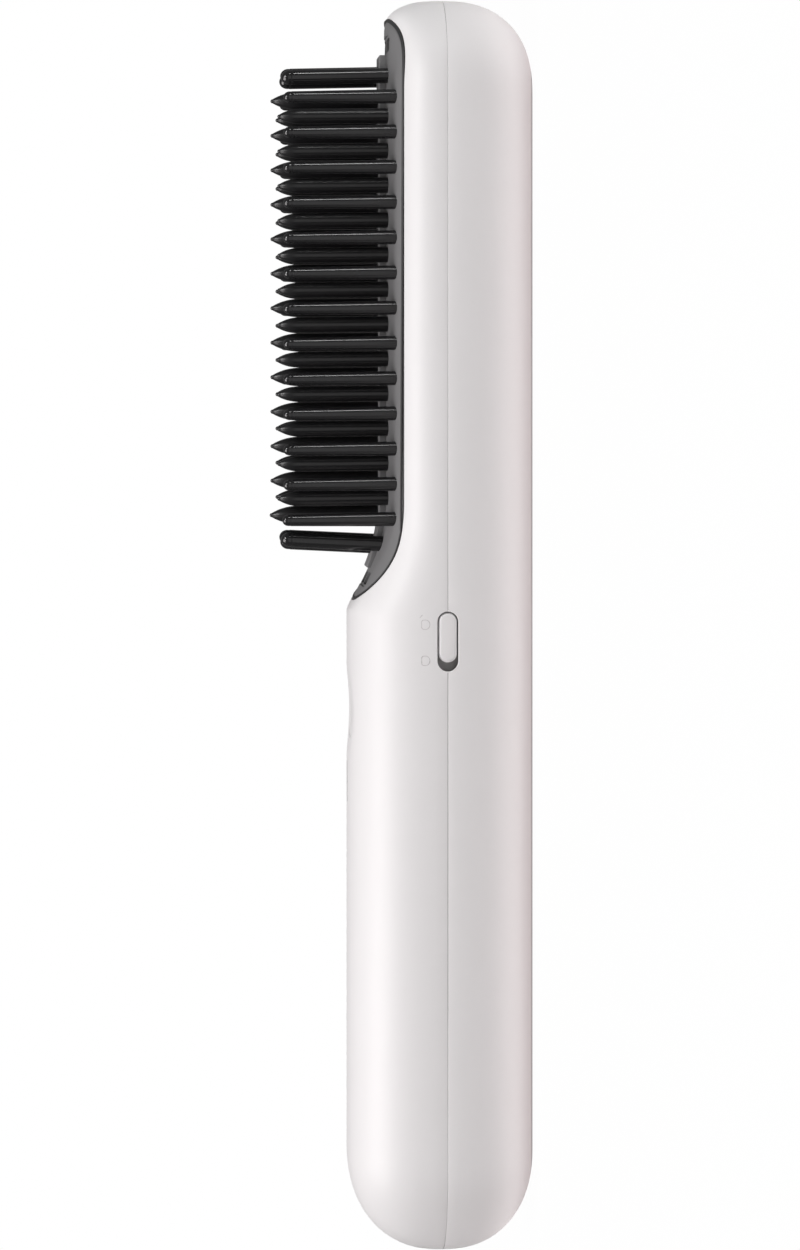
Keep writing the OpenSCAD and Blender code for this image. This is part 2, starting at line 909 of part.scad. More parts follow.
module tunnel_outline() {
    difference() {
        union() {
            intersection() {
                translate([0, cell_z])
                    circle(r = tunnel_r + tunnel_t);
                translate([-half_body_w, cell_z - tunnel_foot])
                    square([body_w, deck_z - cell_z + tunnel_foot]);
            }
            translate([-deck_w / 2, deck_z - deck_t])
                square([deck_w, deck_t]);
        }
        translate([0, cell_z])
            circle(r = tunnel_r);
    }
}

module inner_frame() {
    end_x = cell_x1 + wall_t;
    color("#dcdcdc")
        difference() {
            union() {
                along_x(cell_x0 + frame_lead, cell_x1 - cell_x0 - frame_lead + frame_rest)
                    tunnel_outline();
                along_x(cell_x1, wall_t)
                    difference() {
                        translate([-deck_w / 2, foot_z])
                            square([deck_w, deck_z - foot_z]);
                        translate([0, cell_z])
                            circle(r = cable_hole_r);
                    }
                block([cell_x1, deck_x1], [-deck_w / 2, deck_w / 2], [deck_z - deck_t, deck_z]);
                block([end_x - wall_t / 2, end_x + foot_l], [-foot_w / 2, foot_w / 2],
                      [foot_z, foot_z + wall_t]);
                block([cell_x1, deck_x1], [switch_wall_y, switch_wall_y + wall_t],
                      [foot_z, deck_z]);
            }
            for (side = [-1, 1])
                translate([boss_x, side * boss_y, foot_z - over])
                    cylinder(r = screw_r + screw_gap, h = wall_t + 2 * over);
            for (p = board_screw_places())
                translate([p[0], p[1], deck_z - deck_t - over])
                    cylinder(r = screw_r + screw_gap, h = deck_t + 2 * over);
            block(lead_slot_x, lead_slot_y, [deck_z - deck_t - over, deck_z + over]);
        }
}

function board_screw_places() =
    [for (x = board_screw_x, side = [-1, 1]) [x, side * board_screw_y]];

module frame_screws() {
    color(metal)
        for (side = [-1, 1])
            screw_down(boss_x, side * boss_y, foot_z + wall_t, wall_t + screw_bite);
}

module battery_cell() {
    color("#3f7fb5")
        translate([cell_x0, 0, cell_z])
            rotate([0, 90, 0])
                cylinder(r = cell_r, h = cell_x1 - cell_x0);
}

module battery_tabs() {
    color(metal)
        for (x = [cell_x0 - tab_t, cell_x1])
            translate([x, -tab_w / 2, cell_z - tab_h / 2 + tab_lift])
                cube([tab_t, tab_w, tab_h]);
}

module battery_pad() {
    pad_z = back_surface_z((cell_x0 + cell_x1) / 2, pad_w / 2, wall) + pad_gap;
    color("#555555")
        block([cell_x0 + pad_end, cell_x1 - pad_end], [-pad_w / 2, pad_w / 2],
              [pad_z, cell_z - cell_r - pad_gap]);
}

module control_board() {
    color(board_green)
        difference() {
            block([board_x0, board_x1], [-board_w / 2, board_w / 2], [deck_z, board_top]);
            for (p = board_screw_places())
                translate([p[0], p[1], deck_z - over])
                    cylinder(r = screw_r + screw_gap, h = board_t + 2 * over);
        }
}

// Centre of one of the board's parts, which stand by turns on its two sides
function part_place(i) = [board_x0 + i * part_step, (i % 2 == 0 ? 1 : -1) * part_y, board_top];

module chip(place, h) {
    translate(place + [0, 0, h / 2])
        cube([chip_l, chip_l, h], center = true);
}

module board_parts() {
    color("#222222") {
        chip(part_place(1), chip_h);
        translate(part_place(2))
            cylinder(r = inductor_r, h = inductor_h);
        translate(part_place(3))
            cylinder(r = capacitor_r, h = capacitor_h);
        chip(part_place(4), chip_h);
        for (side = [-1, 1])
            chip([board_x1 - chip_l, side * part_y, board_top], transistor_h);
    }
}

module board_screws() {
    color(metal) {
        for (p = board_screw_places())
            screw_down(p[0], p[1], board_top, board_t + deck_t);
        for (side = [-1, 1])
            screw_down(charge_post_x, side * charge_post_y, charge_z + charge_t,
                       charge_t + screw_bite);
    }
}

// ---- power button and lights ----

module tact_switch() {
    color("#1f1f20")
        difference() {
            block([button_x - tact_w / 2, button_x + tact_w / 2],
                  [-tact_w / 2, tact_w / 2], [board_top, tact_top]);
            translate([button_x, 0, flange_bottom - plunger_l - button_travel - slip_gap])
                cylinder(r = plunger_r + seat_gap, h = button_room);
        }
}

module tact_plunger() {
    color("#e5e2dc")
        translate([button_x, 0, flange_bottom - plunger_l])
            cylinder(r = plunger_r, h = plunger_l);
}

module power_button() {
    color(shell_white)
        difference() {
            union() {
                translate([button_x, 0, flange_bottom])
                    cylinder(r = button_r, h = handle_d - flange_bottom);
                translate([button_x, 0, flange_bottom])
                    cylinder(r = flange_r, h = flange_t);
            }
            dish_roll(0.1);
        }
}

module indicator_lens() {
    color("#f8f8f8")
        translate([lens_x, 0, 0]) {
            translate([0, 0, lens_foot_z])
                linear_extrude(handle_d - trim_inset - lens_foot_z)
                    pill(lens_l, lens_w);
            translate([0, 0, lens_seat_z - lens_flange_t])
                linear_extrude(lens_flange_t)
                    pill(lens_l + 2 * lens_flange, lens_w + 2 * lens_flange);
        }
}

module indicator_leds() {
    color("#f2e9b0")
        for (i = [-1:1])
            translate([lens_x + i * led_pitch, 0, board_top + led_h / 2])
                cube([led_l, led_w, led_h], center = true);
}

// ---- lock ----

module lock_slider() {
    color(shell_white)
        translate([knob_x, 0, split_z]) {
            difference() {
                union() {
                    translate([0, slider_flange_y, 0])
                        rotate([90, 0, 0])
                            linear_extrude(half_body_w - trim_inset + slider_flange_y)
                                pill(knob_l, knob_w);
                    translate([0, slider_flange_y + slider_flange_t, 0])
                        rotate([90, 0, 0])
                            linear_extrude(slider_flange_t)
                                pill(slider_flange_l, slider_flange_w);
                    block([-fork_t - lever_w / 2, fork_t + lever_w / 2],
                          [slider_flange_y + slider_flange_t / 2, fork_y],
                          [-knob_w / 2, knob_w / 2]);
                }
                block([-lever_w / 2, lever_w / 2], [slider_flange_y + slider_flange_t, fork_y + over],
                      [-knob_w, knob_w]);
            }
        }
}

module slide_lever() {
    color("#1f1f20")
        translate([knob_x, 0, split_z])
            block([-lever_w / 2, lever_w / 2],
                  [slider_flange_y + slider_flange_t, switch_front_y + lever_pocket - slip_gap],
                  [-lever_h / 2, lever_h / 2]);
}

module slide_switch() {
    color("#c8c9cb")
        difference() {
            block([lock_x - switch_l / 2, lock_x + switch_l / 2],
                  [switch_front_y, switch_wall_y - lock_board_t],
                  [split_z - switch_h / 2, split_z + switch_h / 2]);
            block([lock_x - (lever_w + lock_travel) / 2 - slip_gap,
                   lock_x + (lever_w + lock_travel) / 2 + slip_gap],
                  [switch_front_y - over, switch_front_y + lever_pocket],
                  [split_z - lever_h / 2 - slip_gap, split_z + lever_h / 2 + slip_gap]);
        }
}

module lock_board() {
    color(board_green)
        block([lock_x - lock_board_l / 2 - slip_gap, lock_x + lock_board_l / 2 - slip_gap],
              [switch_wall_y - lock_board_t, switch_wall_y],
              [split_z - lock_board_h / 2, split_z + lock_board_h / 2]);
}

// ---- charging ----

module usb_port() {
    x = tail_x + inlet_recess;
    color(metal) {
        difference() {
            along_x(x, inlet_l)
                translate([0, split_z])
                    inlet_outline(0);
            along_x(x - over, inlet_l - inlet_back + over)
                translate([0, split_z])
                    inlet_outline(-inlet_wall);
        }
        block([x + tongue_lead, x + inlet_l - inlet_back], [-tongue_w / 2, tongue_w / 2],
              [split_z - tongue_t / 2, split_z + tongue_t / 2]);
    }
}

module charge_board() {
    color(board_green)
        difference() {
            block([charge_x0, charge_x1], [-charge_w / 2, charge_w / 2],
                  [charge_z, charge_z + charge_t]);
            for (side = [-1, 1])
                translate([charge_post_x, side * charge_post_y, charge_z - over])
                    cylinder(r = screw_r + screw_gap, h = charge_t + 2 * over);
        }
}

// ---- inner wires ----

module heater_leads() {
    x = board_x1 - 1.4;
    z = plate_z - (heater_t + mica_t) / 2;
    end_x = plate_x0 + heater_end;
    run = end_x - x;
    edge_y = heater_w / 2;
    color("#b5443a")
        for (side = [-1, 1])
            lead([
                [x, side * 1.1 * edge_y, deck_z],
                [x, side * 1.1 * edge_y, deck_z - lead_drop],
                [x + 0.11 * run, side * 1.12 * edge_y, clamp_z - 0.8 * clamp_t],
                [x + 0.33 * run, side * 1.28 * edge_y, clamp_z - 1.2 * clamp_t],
                [x + 0.55 * run, side * 1.48 * edge_y, clamp_z],
                [x + 0.72 * run, side * 1.44 * edge_y, z],
                [x + 0.75 * run, side * edge_y, z],
                [x + 0.83 * run, side * 0.6 * edge_y, z],
                [end_x - lead_end, side * 0.5 * edge_y, z],
                [end_x, side * 0.5 * edge_y, z]
            ], power_lead_r);
}

module battery_leads() {
    slot_x = (lead_slot_x[0] + lead_slot_x[1]) / 2;
    slot_y = (lead_slot_y[0] + lead_slot_y[1]) / 2;
    color("#b5443a")
        lead([
            [cell_x1 + tab_t, 0, cell_z + tab_h / 2],
            [cell_x1 + tab_t + lead_end, 0, cell_z + tab_h / 2],
            [cell_x1 + tab_t + 1.8 * lead_end, 0.3 * slot_y, cell_z + 0.56 * tab_h],
            [slot_x, slot_y, cell_z + 0.8 * tab_h],
            [slot_x, slot_y, deck_z]
        ], battery_lead_r);
    color("#2a2a2a")
        lead([
            [cell_x0 - tab_t, 0, cell_z + tab_h / 2],
            [cell_x0 - tab_t - lead_end, 0, cell_z + tab_h / 2],
            [cell_x0 - tab_t - 1.6 * lead_end, 0, cell_z + 0.7 * tab_h],
            [cell_x0 - tab_t - 1.3 * lead_end, 0.2 * part_y, cell_z + cell_r],
            [cell_x0, 0.6 * part_y, deck_z + battery_lead_r],
            [cell_x0 + 0.44 * board_lead, part_y, deck_z + battery_lead_r],
            [board_x0, part_y, deck_z + battery_lead_r]
        ], battery_lead_r);
}

module charge_leads() {
    side_y = -charge_w / 2;
    top_y = -0.32 * deck_w;
    rise = deck_z - charge_z;
    color("#3a5fb5")
        lead([
            [charge_x1, 0.79 * side_y, charge_z + charge_t / 2],
            [charge_x1 + lead_end, 0.79 * side_y, charge_z + charge_t / 2],
            [charge_x1 + 1.6 * lead_end, 0.89 * side_y, charge_z + 0.18 * rise],
            [charge_x1 + 1.2 * lead_end, top_y, charge_z + 0.72 * rise],
            [cell_x0, top_y, deck_z + charge_lead_r],
            [cell_x0 + 0.44 * board_lead, -part_y, deck_z + charge_lead_r],
            [board_x0, -part_y, deck_z + charge_lead_r]
        ], charge_lead_r);
}

module sensor_leads() {
    x = board_x1 - 1.2;
    z = plate_z - sensor_r;
    low = clamp_z - clamp_t / 2;
    run = sensor_x - x;
    fuse_run = fuse_x - x;
    color("#d0d0d0") {
        lead([
            [x, 1.2 * sensor_y, deck_z],
            [x, 1.2 * sensor_y, deck_z - lead_drop],
            [x + 0.08 * run, 1.28 * sensor_y, low],
            [x + 0.33 * run, 1.4 * sensor_y, low],
            [x + 0.66 * run, 1.4 * sensor_y, clamp_z + clamp_t / 2],
            [x + 0.88 * run, 1.09 * sensor_y, z],
            [sensor_x - lead_end, sensor_y, z],
            [sensor_x, sensor_y, z]
        ], sensor_lead_r);
        lead([
            [x, 1.49 * sensor_y, deck_z],
            [x, 1.49 * sensor_y, deck_z - lead_drop],
            [x + 0.06 * fuse_run, 1.55 * sensor_y, low],
            [x + 0.3 * fuse_run, 1.6 * sensor_y, low],
            [x + 0.73 * fuse_run, 1.54 * sensor_y, z - sensor_lead_r],
            [x + 0.91 * fuse_run, 1.3 * sensor_y, z],
            [fuse_x - lead_end, sensor_y, z],
            [fuse_x, sensor_y, z]
        ], sensor_lead_r);
    }
}

module lock_leads() {
    x = lock_x - switch_l / 2 - lock_lead_r - seat_gap;
    y = switch_wall_y - lock_board_t;
    z = split_z + lock_board_h / 2 - 0.6;
    side_y = -deck_w / 2 - 2 * lock_lead_r;
    color("#d0d0d0")
        lead([
            [x, y, z],
            [x, y - lead_end, z],
            [x, side_y, z + lock_lead_r],
            [x, side_y, deck_z - lock_lead_r / 2],
            [x, -board_w / 2 - 1.5 * lock_lead_r, deck_z + board_t / 2],
            [x, -board_w / 2, deck_z + board_t / 2]
        ], lock_lead_r);
}

back_shell();
front_shell();
comb_base();
heated_teeth();
guard_teeth();
heating_plate();
ptc_heater();
mica_sheet();
heater_clamp();
plate_screws();
thermistor();
thermal_fuse();
inner_frame();
frame_screws();
battery_cell();
battery_tabs();
battery_pad();
control_board();
board_parts();
board_screws();
tact_switch();
tact_plunger();
power_button();
indicator_lens();
indicator_leds();
lock_slider();
slide_switch();
slide_lever();
lock_board();
usb_port();
charge_board();
heater_leads();
battery_leads();
charge_leads();
sensor_leads();
lock_leads();
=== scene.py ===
"""The looks of a cordless hair-straightening comb, which lies on its back with the teeth up."""
import json
import math
from contextlib import contextmanager

import bmesh
import bpy
from mathutils import Matrix, Vector


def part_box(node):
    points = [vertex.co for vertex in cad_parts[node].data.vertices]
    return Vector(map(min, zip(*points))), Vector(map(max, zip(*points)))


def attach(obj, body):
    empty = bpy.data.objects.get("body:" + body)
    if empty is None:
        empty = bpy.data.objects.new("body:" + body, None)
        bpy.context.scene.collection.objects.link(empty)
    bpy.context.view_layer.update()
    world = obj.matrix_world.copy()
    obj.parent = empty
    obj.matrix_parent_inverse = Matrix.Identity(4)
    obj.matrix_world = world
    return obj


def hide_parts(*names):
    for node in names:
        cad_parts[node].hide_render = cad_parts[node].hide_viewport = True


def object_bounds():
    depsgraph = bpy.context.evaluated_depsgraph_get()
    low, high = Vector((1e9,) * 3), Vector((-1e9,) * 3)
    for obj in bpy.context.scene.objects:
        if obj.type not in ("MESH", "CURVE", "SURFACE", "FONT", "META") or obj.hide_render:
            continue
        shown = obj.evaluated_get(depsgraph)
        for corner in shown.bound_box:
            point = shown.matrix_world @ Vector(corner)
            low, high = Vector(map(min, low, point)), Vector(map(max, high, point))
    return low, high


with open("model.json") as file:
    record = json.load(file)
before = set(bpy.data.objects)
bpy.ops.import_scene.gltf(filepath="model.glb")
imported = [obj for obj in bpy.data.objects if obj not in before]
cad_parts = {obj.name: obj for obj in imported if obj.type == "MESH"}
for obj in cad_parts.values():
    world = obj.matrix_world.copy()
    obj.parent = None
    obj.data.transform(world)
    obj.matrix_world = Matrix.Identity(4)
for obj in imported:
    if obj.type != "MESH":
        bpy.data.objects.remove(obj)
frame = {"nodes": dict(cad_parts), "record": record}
cad_low, cad_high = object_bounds()
nodes = frame["nodes"]

MM = 0.001


def span(node):
    """Lowest and highest corner of a CAD node, in millimetres."""
    low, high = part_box(node)
    return low / MM, high / MM


# ---- sizes in millimetres, as in the part's source ----

body_l = 230.0
body_w = 38.0
tail_x = -body_l / 2
tip_x = body_l / 2
half_body_w = body_w / 2
handle_d = 33.9
head_d = 27.1
split_z = 16.6
squareness = 2.6
flat_depth = 0.2
wall = 2.0
tail_l = 18.6
tip_l = 17.5
tip_front_l = 5.5
neck_l = 20.0
end_power = 2.2
tip_power = 2.4
neck_power = 0.65
outline_power = 2.5

tip_rim = 3.3
opening_l = 107.1
opening_w = 30.2
opening_x1 = tip_x - tip_rim
opening_x0 = opening_x1 - opening_l
opening_half_w = opening_w / 2
opening_neck_l = 13.0
opening_tip_l = 12.0
neck_lead = 2.0
neck_x = opening_x0 - neck_lead
fit_gap = 0.25
base_drop = 0.15
base_t = 2.2
ridge_w = 7.6
ridge_h = 1.3
ridge_fall = 0.5
ridge_lead = 6.0
ridge_trail = 6.9
ridge_x0 = opening_x0 + ridge_lead
ridge_x1 = opening_x1 - ridge_trail
slot_l = 2.4
slot_w = 6.5
slot_rib = 1.0
slot_lead = 0.6
slot_xs = (ridge_x0 - slot_lead - slot_l / 2, ridge_x1 + slot_lead + slot_l / 2)

tooth_pitch = 6.36
row_gap = 5.6
row_lead = 15.4
row_x = opening_x0 + row_lead
end_row_lead = 5.0
end_row_trail = 4.6
end_row_rest = 1.1
row_room = ridge_x1 - end_row_trail - end_row_rest - row_x
tooth_count = math.floor(row_room / tooth_pitch) + 1
last_x = row_x + (tooth_count - 1) * tooth_pitch
guard_lead = 0.6
guard_pitch = tooth_pitch + guard_lead / (tooth_count - 1)
end_xs = (row_x - end_row_lead, last_x + end_row_trail)
neck_lean = math.radians(2.8)
head_lean = math.radians(1.3)
heated_l = 19.8
side_drop = 1.1
heated_r = 1.45
point_l = 5.2
guard_l = 20.2
guard_r = 1.3
guard_taper = 0.79
end_taper = 0.96
guard_dome = 1.1
root_l = 2.4
end_tooth_l = 18.0
end_tooth_r = 1.4
socket_depth = 1.2

button_back = 20.6
button_x = opening_x0 - button_back
button_r = 4.8
button_flange_r = button_r + 1.6
button_flange_t = 0.8
dish_l = 15.8
dish_depth = 0.75
dish_r = (dish_l ** 2 / 4 + dish_depth ** 2) / (2 * dish_depth)
lens_back = 13.0
lens_x = button_x - lens_back
lens_l = 8.0
lens_w = 2.2
slip_gap = 0.2
seat_gap = 0.1
lock_back = 6.65
lock_x = opening_x0 - lock_back
knob_l = 9.0
knob_w = 3.35
lock_travel = 1.4
knob_gap = 0.2
slot_open_l = knob_l + lock_travel + 2 * knob_gap
slot_open_w = knob_w + 2 * knob_gap
slider_cover = 0.5
slider_flange_l = slot_open_l + lock_travel + 2 * slider_cover
slider_flange_w = slot_open_w + 2 * slider_cover
slider_flange_t = 1.0
slider_flange_y = -half_body_w + wall + 0.4
inlet_w = 8.94
inlet_h = 3.26
inlet_hole_gap = 0.18

# ---- sizes of the looks alone, in millimetres ----

# The middle heated teeth are stouter, and the rows fan out and stand a little to the head
tooth_tip_r = 0.38
stout_r = heated_r + 0.3
stout_point_l = point_l + 1.6
row_shift = 0.4
row_fan = math.radians(0.6)
end_bow = 0.6

# Beads that round the rims of the openings
rim_r = 0.15
lock_hole_l = slot_open_l + 2 * rim_r
lock_hole_w = slot_open_w + 2 * rim_r
inlet_hole_w = inlet_w + 2 * (inlet_hole_gap + rim_r)
inlet_hole_h = inlet_h + 2 * (inlet_hole_gap + rim_r)
button_rim_r = 0.2
button_hole_r = button_r + slip_gap + button_rim_r

# The parting line, its hairline of painted shade, and the dark bead of painted shade in the gap
# round the comb base
seam_bevel = 0.14
seam_r = 0.08
seam_sunk = 0.1
gap_shade_r = 0.33
gap_shade_inset = 0.45
gap_shade_sunk = 0.15

# The printed padlocks
mark_z = 20.6
open_mark_x = 1.0
closed_mark_x = -5.5

# How finely the forms are laid
dome_cells = 20
arc_cells = 22
side_cells = 96
tip_cells = 16
rim_cells = 16

# Where the grid of the handle meets the grid of the head
meet_x = -6.0


# ---- curves of the body ----

def clamp(value):
    return min(max(value, 0.0), 1.0)


def dome(u, power):
    """1 where a rounded end starts, falling to 0 at its tip."""
    return max(0.0, 1 - clamp(u) ** power) ** (1 / power)


def front_z(x):
    """Height of the front's middle line, which falls from the handle to the head."""
    u = clamp((x - neck_x) / neck_l) ** neck_power
    return handle_d - (handle_d - head_d) * u * u * (3 - 2 * u)


def tail_dome(x, inset):
    """The share of its full size that the body has near the handle end."""
    return dome((tail_x + tail_l - x) / (tail_l - inset), end_power)


def tip_dome(x, length, inset, power):
    """The same near the head end, for a rounding of a length."""
    return dome((x - tip_x + length) / (length - inset), power)


def half_w(x, inset=0.0):
    """Half of the body's width at the parting plane."""
    return (half_body_w - inset) * tail_dome(x, inset) * tip_dome(x, tip_l, inset, end_power)


def front_h(x, inset=0.0):
    """How far the front rises from the parting plane."""
    depth = front_z(x) - split_z - inset
    return depth * tail_dome(x, inset) * tip_dome(x, tip_front_l, inset, tip_power)


def back_h(x):
    """How far the back falls from the parting plane, before the flat strip is taken off."""
    return (split_z + flat_depth) * tail_dome(x, 0) * tip_dome(x, tip_l, 0, tip_power)


def smooth_min(a, b, blend):
    """The lower of two heights, with a rounded change from one to the other."""
    h = max(blend - abs(a - b), 0.0) / blend
    return min(a, b) - h * h * blend / 4


def surface_z(x, y, inset=0.0):
    """Height of the front's skin."""
    share = min(abs(y) / max(half_w(x, inset), 1e-6), 1.0)
    return split_z + front_h(x, inset) * dome(share, squareness)


def dish_rise(x):
    """How far the thumb dish, which is level from side to side, rises from its deepest line."""
    return dish_r - math.sqrt(max(dish_r ** 2 - (x - button_x) ** 2, 0.0))


def dished(x, z):
    """Height of the front where the thumb dish lowers it."""
    if abs(x - button_x) > dish_l:
        return z
    return smooth_min(z, handle_d - dish_depth + dish_rise(x), 0.2)


def skin(x, a, side):
    """Point of the skin at a distance along the body and an angle from the parting plane."""
    y = half_w(x) * math.copysign(abs(math.cos(a)) ** (2 / squareness), math.cos(a))
    rise = max(math.sin(a), 0.0) ** (2 / squareness)
    shown_x = max(x, cad_low[0] / MM)
    if side < 0:
        return Vector((shown_x, y, max(split_z - back_h(x) * rise, 0.0)))
    return Vector((shown_x, y, dished(x, split_z + front_h(x) * rise)))


def angle_at(x, y):
    """Angle round the body at which its skin has this y."""
    return math.acos(min(abs(y) / half_w(x), 1.0) ** (squareness / 2))


def round_end(value):
    """Sine or cosine of an angle, squared up for the opening's rounded ends."""
    return abs(value) ** (2 / outline_power)


def opening_half(inset):
    """Half of the comb base's outline, from the neck end over +y to the head end."""
    w = opening_half_w - inset
    steps = [math.radians(i) for i in range(0, 91)]
    neck = [(opening_x0 + opening_neck_l - (opening_neck_l - inset) * round_end(math.cos(a)),
             w * round_end(math.sin(a))) for a in steps]
    head = [(opening_x1 - opening_tip_l + (opening_tip_l - inset) * round_end(math.sin(a)),
             w * round_end(math.cos(a))) for a in steps]
    return neck + head


def on_outline(co, gap=0.0):
    """On the opening's outline, or on the comb base's, which is smaller all round by a gap."""
    if co.x < opening_x0 + opening_neck_l:
        share = (opening_x0 + opening_neck_l - co.x) / (opening_neck_l - gap)
    elif co.x > opening_x1 - opening_tip_l:
        share = (co.x - opening_x1 + opening_tip_l) / (opening_tip_l - gap)
    else:
        share = 0.0
    edge = (opening_half_w - gap) * dome(share, outline_power)
    near_end = min(abs(co.x - opening_x0 - gap), abs(co.x - opening_x1 + gap)) < 0.02
    return abs(abs(co.y) - edge) < 0.06 or near_end


def walk(points, share):
    """Point at a share of a polyline's length."""
    steps = [math.dist(a, b) for a, b in zip(points, points[1:])]
    left = share * sum(steps)
    for (a, b), step in zip(zip(points, points[1:]), steps):
        if left <= step:
            t = left / step if step else 0.0
            return [p + (q - p) * t for p, q in zip(a, b)]
        left -= step
    return list(points[-1])


# ---- modelling helpers ----

def clear():
    """Nothing is selected, and nothing is being edited."""
    if bpy.context.object and bpy.context.object.mode != "OBJECT":
        bpy.ops.object.mode_set(mode="OBJECT")
    bpy.ops.object.select_all(action="DESELECT")


def only(*objs):
    """These objects alone are selected, and the first is active."""
    clear()
    for obj in objs:
        obj.select_set(True)
    bpy.context.view_layer.objects.active = objs[0]


@contextmanager
def editing(obj, mode="FACE"):
    """Edit mode, with nothing selected."""
    only(obj)
    bpy.ops.object.mode_set(mode="EDIT")
    bpy.ops.mesh.select_mode(type=mode)
    bpy.ops.mesh.select_all(action="DESELECT")
    yield
    bpy.ops.object.mode_set(mode="OBJECT")


def pick(obj, kind, test):
    """In edit mode, selects the items whose corners, in millimetres, all pass a test."""
    mesh = bmesh.from_edit_mesh(obj.data)
    for item in getattr(mesh, kind):
        corners = [item] if kind == "verts" else item.verts
        item.select_set(all(test(corner.co / MM) for corner in corners))
    bmesh.update_edit_mesh(obj.data)


def pick_edges(obj, test):
    """In edit mode, selects the edges that pass a test."""
    mesh = bmesh.from_edit_mesh(obj.data)
    for edge in mesh.edges:
        edge.select_set(test(edge))
    bmesh.update_edit_mesh(obj.data)


def modify(obj, kind, **settings):
    """Adds one modifier and applies it."""
    only(obj)
    modifier = obj.modifiers.new(kind.title(), kind)
    for key, value in settings.items():
        setattr(modifier, key, value)
    bpy.ops.object.modifier_apply(modifier=modifier.name)


def cut(obj, *cutters):
    for cutter in cutters:
        modify(obj, "BOOLEAN", operation="DIFFERENCE", object=cutter, solver="EXACT")


def discard(*objs):
    for obj in objs:
        bpy.data.objects.remove(obj)


def join(obj, *others):
    if others:
        only(obj, *others)
        bpy.ops.object.join()
    return obj


def weld(obj, distance=0.004):
    """Merges corners that lie within a distance in millimetres."""
    with editing(obj):
        bpy.ops.mesh.select_all(action="SELECT")
        bpy.ops.mesh.remove_doubles(threshold=distance * MM)
        bpy.ops.mesh.dissolve_degenerate(threshold=distance * MM / 2)


def face_out(obj):
    with editing(obj):
        bpy.ops.mesh.select_all(action="SELECT")
        bpy.ops.mesh.normals_make_consistent(inside=False)


def smooth(obj, degrees=35):
    only(obj)
    bpy.ops.object.shade_smooth_by_angle(angle=math.radians(degrees))


def settle(obj, name):
    """Puts a piece's place into its mesh, and names it."""
    only(obj)
    bpy.ops.object.transform_apply(location=True, rotation=True, scale=True)
    obj.name = name
    obj.data.name = name
    return obj


def laid_grid(cells_u, cells_v, place):
    """A grid whose corners are laid on a form, place(i, j) being the corner in millimetres."""
    clear()
    bpy.ops.mesh.primitive_grid_add(x_subdivisions=cells_u, y_subdivisions=cells_v, size=1)
    obj = bpy.context.object
    for vert in obj.data.vertices:
        i = round((vert.co.x + 0.5) * cells_u)
        j = round((vert.co.y + 0.5) * cells_v)
        vert.co = place(i, j) * MM
    return obj


def cylinder(r, depth, place, sides=64, axis=(0, 0, 0)):
    clear()
    bpy.ops.mesh.primitive_cylinder_add(
        vertices=sides, radius=r * MM, depth=depth * MM, location=Vector(place) * MM, rotation=axis)
    obj = bpy.context.object
    bpy.ops.object.transform_apply(location=True, rotation=True, scale=True)
    return obj


def cube(low, high):
    clear()
    low, high = Vector(low) * MM, Vector(high) * MM
    bpy.ops.mesh.primitive_cube_add(size=1, location=(low + high) / 2)
    obj = bpy.context.object
    obj.scale = high - low
    bpy.ops.object.transform_apply(location=True, rotation=True, scale=True)
    return obj


def pill(length, width, depth, place, axis=(0, 0, 0), sides=64):
    """A prism with round ends, long along its own X."""
    obj = cylinder(width / 2, depth, (0, 0, 0), sides)
    pull = (length - width) / 2
    with editing(obj, "VERT"):
        for side in (-1, 1):
            bpy.ops.mesh.select_all(action="DESELECT")
            pick(obj, "verts", lambda co: co.x * side > 1e-4)
            bpy.ops.transform.translate(value=(side * pull * MM, 0, 0))
    obj.rotation_euler = axis
    obj.location = Vector(place) * MM
    only(obj)
    bpy.ops.object.transform_apply(location=True, rotation=True, scale=True)
    return obj


def pill_points(length, width, steps=16):
    """Points round a pill, as (along, across)."""
    r, half = width / 2, (length - width) / 2
    right = [math.radians(-90 + 180 * i / steps) for i in range(steps + 1)]
    left = [a + math.pi for a in right]
    return ([(half + r * math.cos(a), r * math.sin(a)) for a in right]
            + [(-half + r * math.cos(a), r * math.sin(a)) for a in left])


def bead(points, r, thickness=lambda x: 1.0, closed=True, roundness=2):
    """A round bead along points in millimetres."""
    curve = bpy.data.curves.new("bead", "CURVE")
    curve.dimensions = "3D"
    curve.bevel_depth = r * MM
    curve.bevel_resolution = roundness
    curve.use_fill_caps = not closed
    spline = curve.splines.new("POLY")
    spline.points.add(len(points) - 1)
    for spot, point in zip(spline.points, points):
        spot.co = (*(Vector(point) * MM), 1)
        spot.radius = thickness(point[0])
    spline.use_cyclic_u = closed
    obj = bpy.data.objects.new("bead", curve)
    bpy.context.scene.collection.objects.link(obj)
    only(obj)
    bpy.ops.object.convert(target="MESH")
    return bpy.context.object


def half_of(obj, side):
    """Keeps the part of a bead above or below the parting plane, and caps it."""
    with editing(obj, "VERT"):
        bpy.ops.mesh.select_all(action="SELECT")
        bpy.ops.mesh.bisect(plane_co=(0, 0, split_z * MM), plane_no=(0, 0, side),
                            clear_inner=True, use_fill=True)
    return obj


# ---- the two shells ----

def stations(last):
    """Places along the body, from the handle end, close together where it curves."""
    end = [tail_x + tail_l - tail_l * math.cos(math.pi / 2 * i / dome_cells)
           for i in range(dome_cells)]
    start = tail_x + tail_l
    cells = round((last - start) / 1.5)
    return end + [start + (last - start) * i / cells for i in range(cells + 1)]


def tip_stations(cells):
    """Places along the head end, up to its tip, close together where it curves."""
    return [tip_x - tip_l + tip_l * math.sin(math.pi / 2 * i / cells) for i in range(1, cells + 1)]


def long_skin(xs, side):
    """Half of the skin, laid in cross-sections."""
    return laid_grid(len(xs) - 1, arc_cells, lambda i, j: skin(
        xs[i], math.pi / 2 * (1 - j / arc_cells), side))


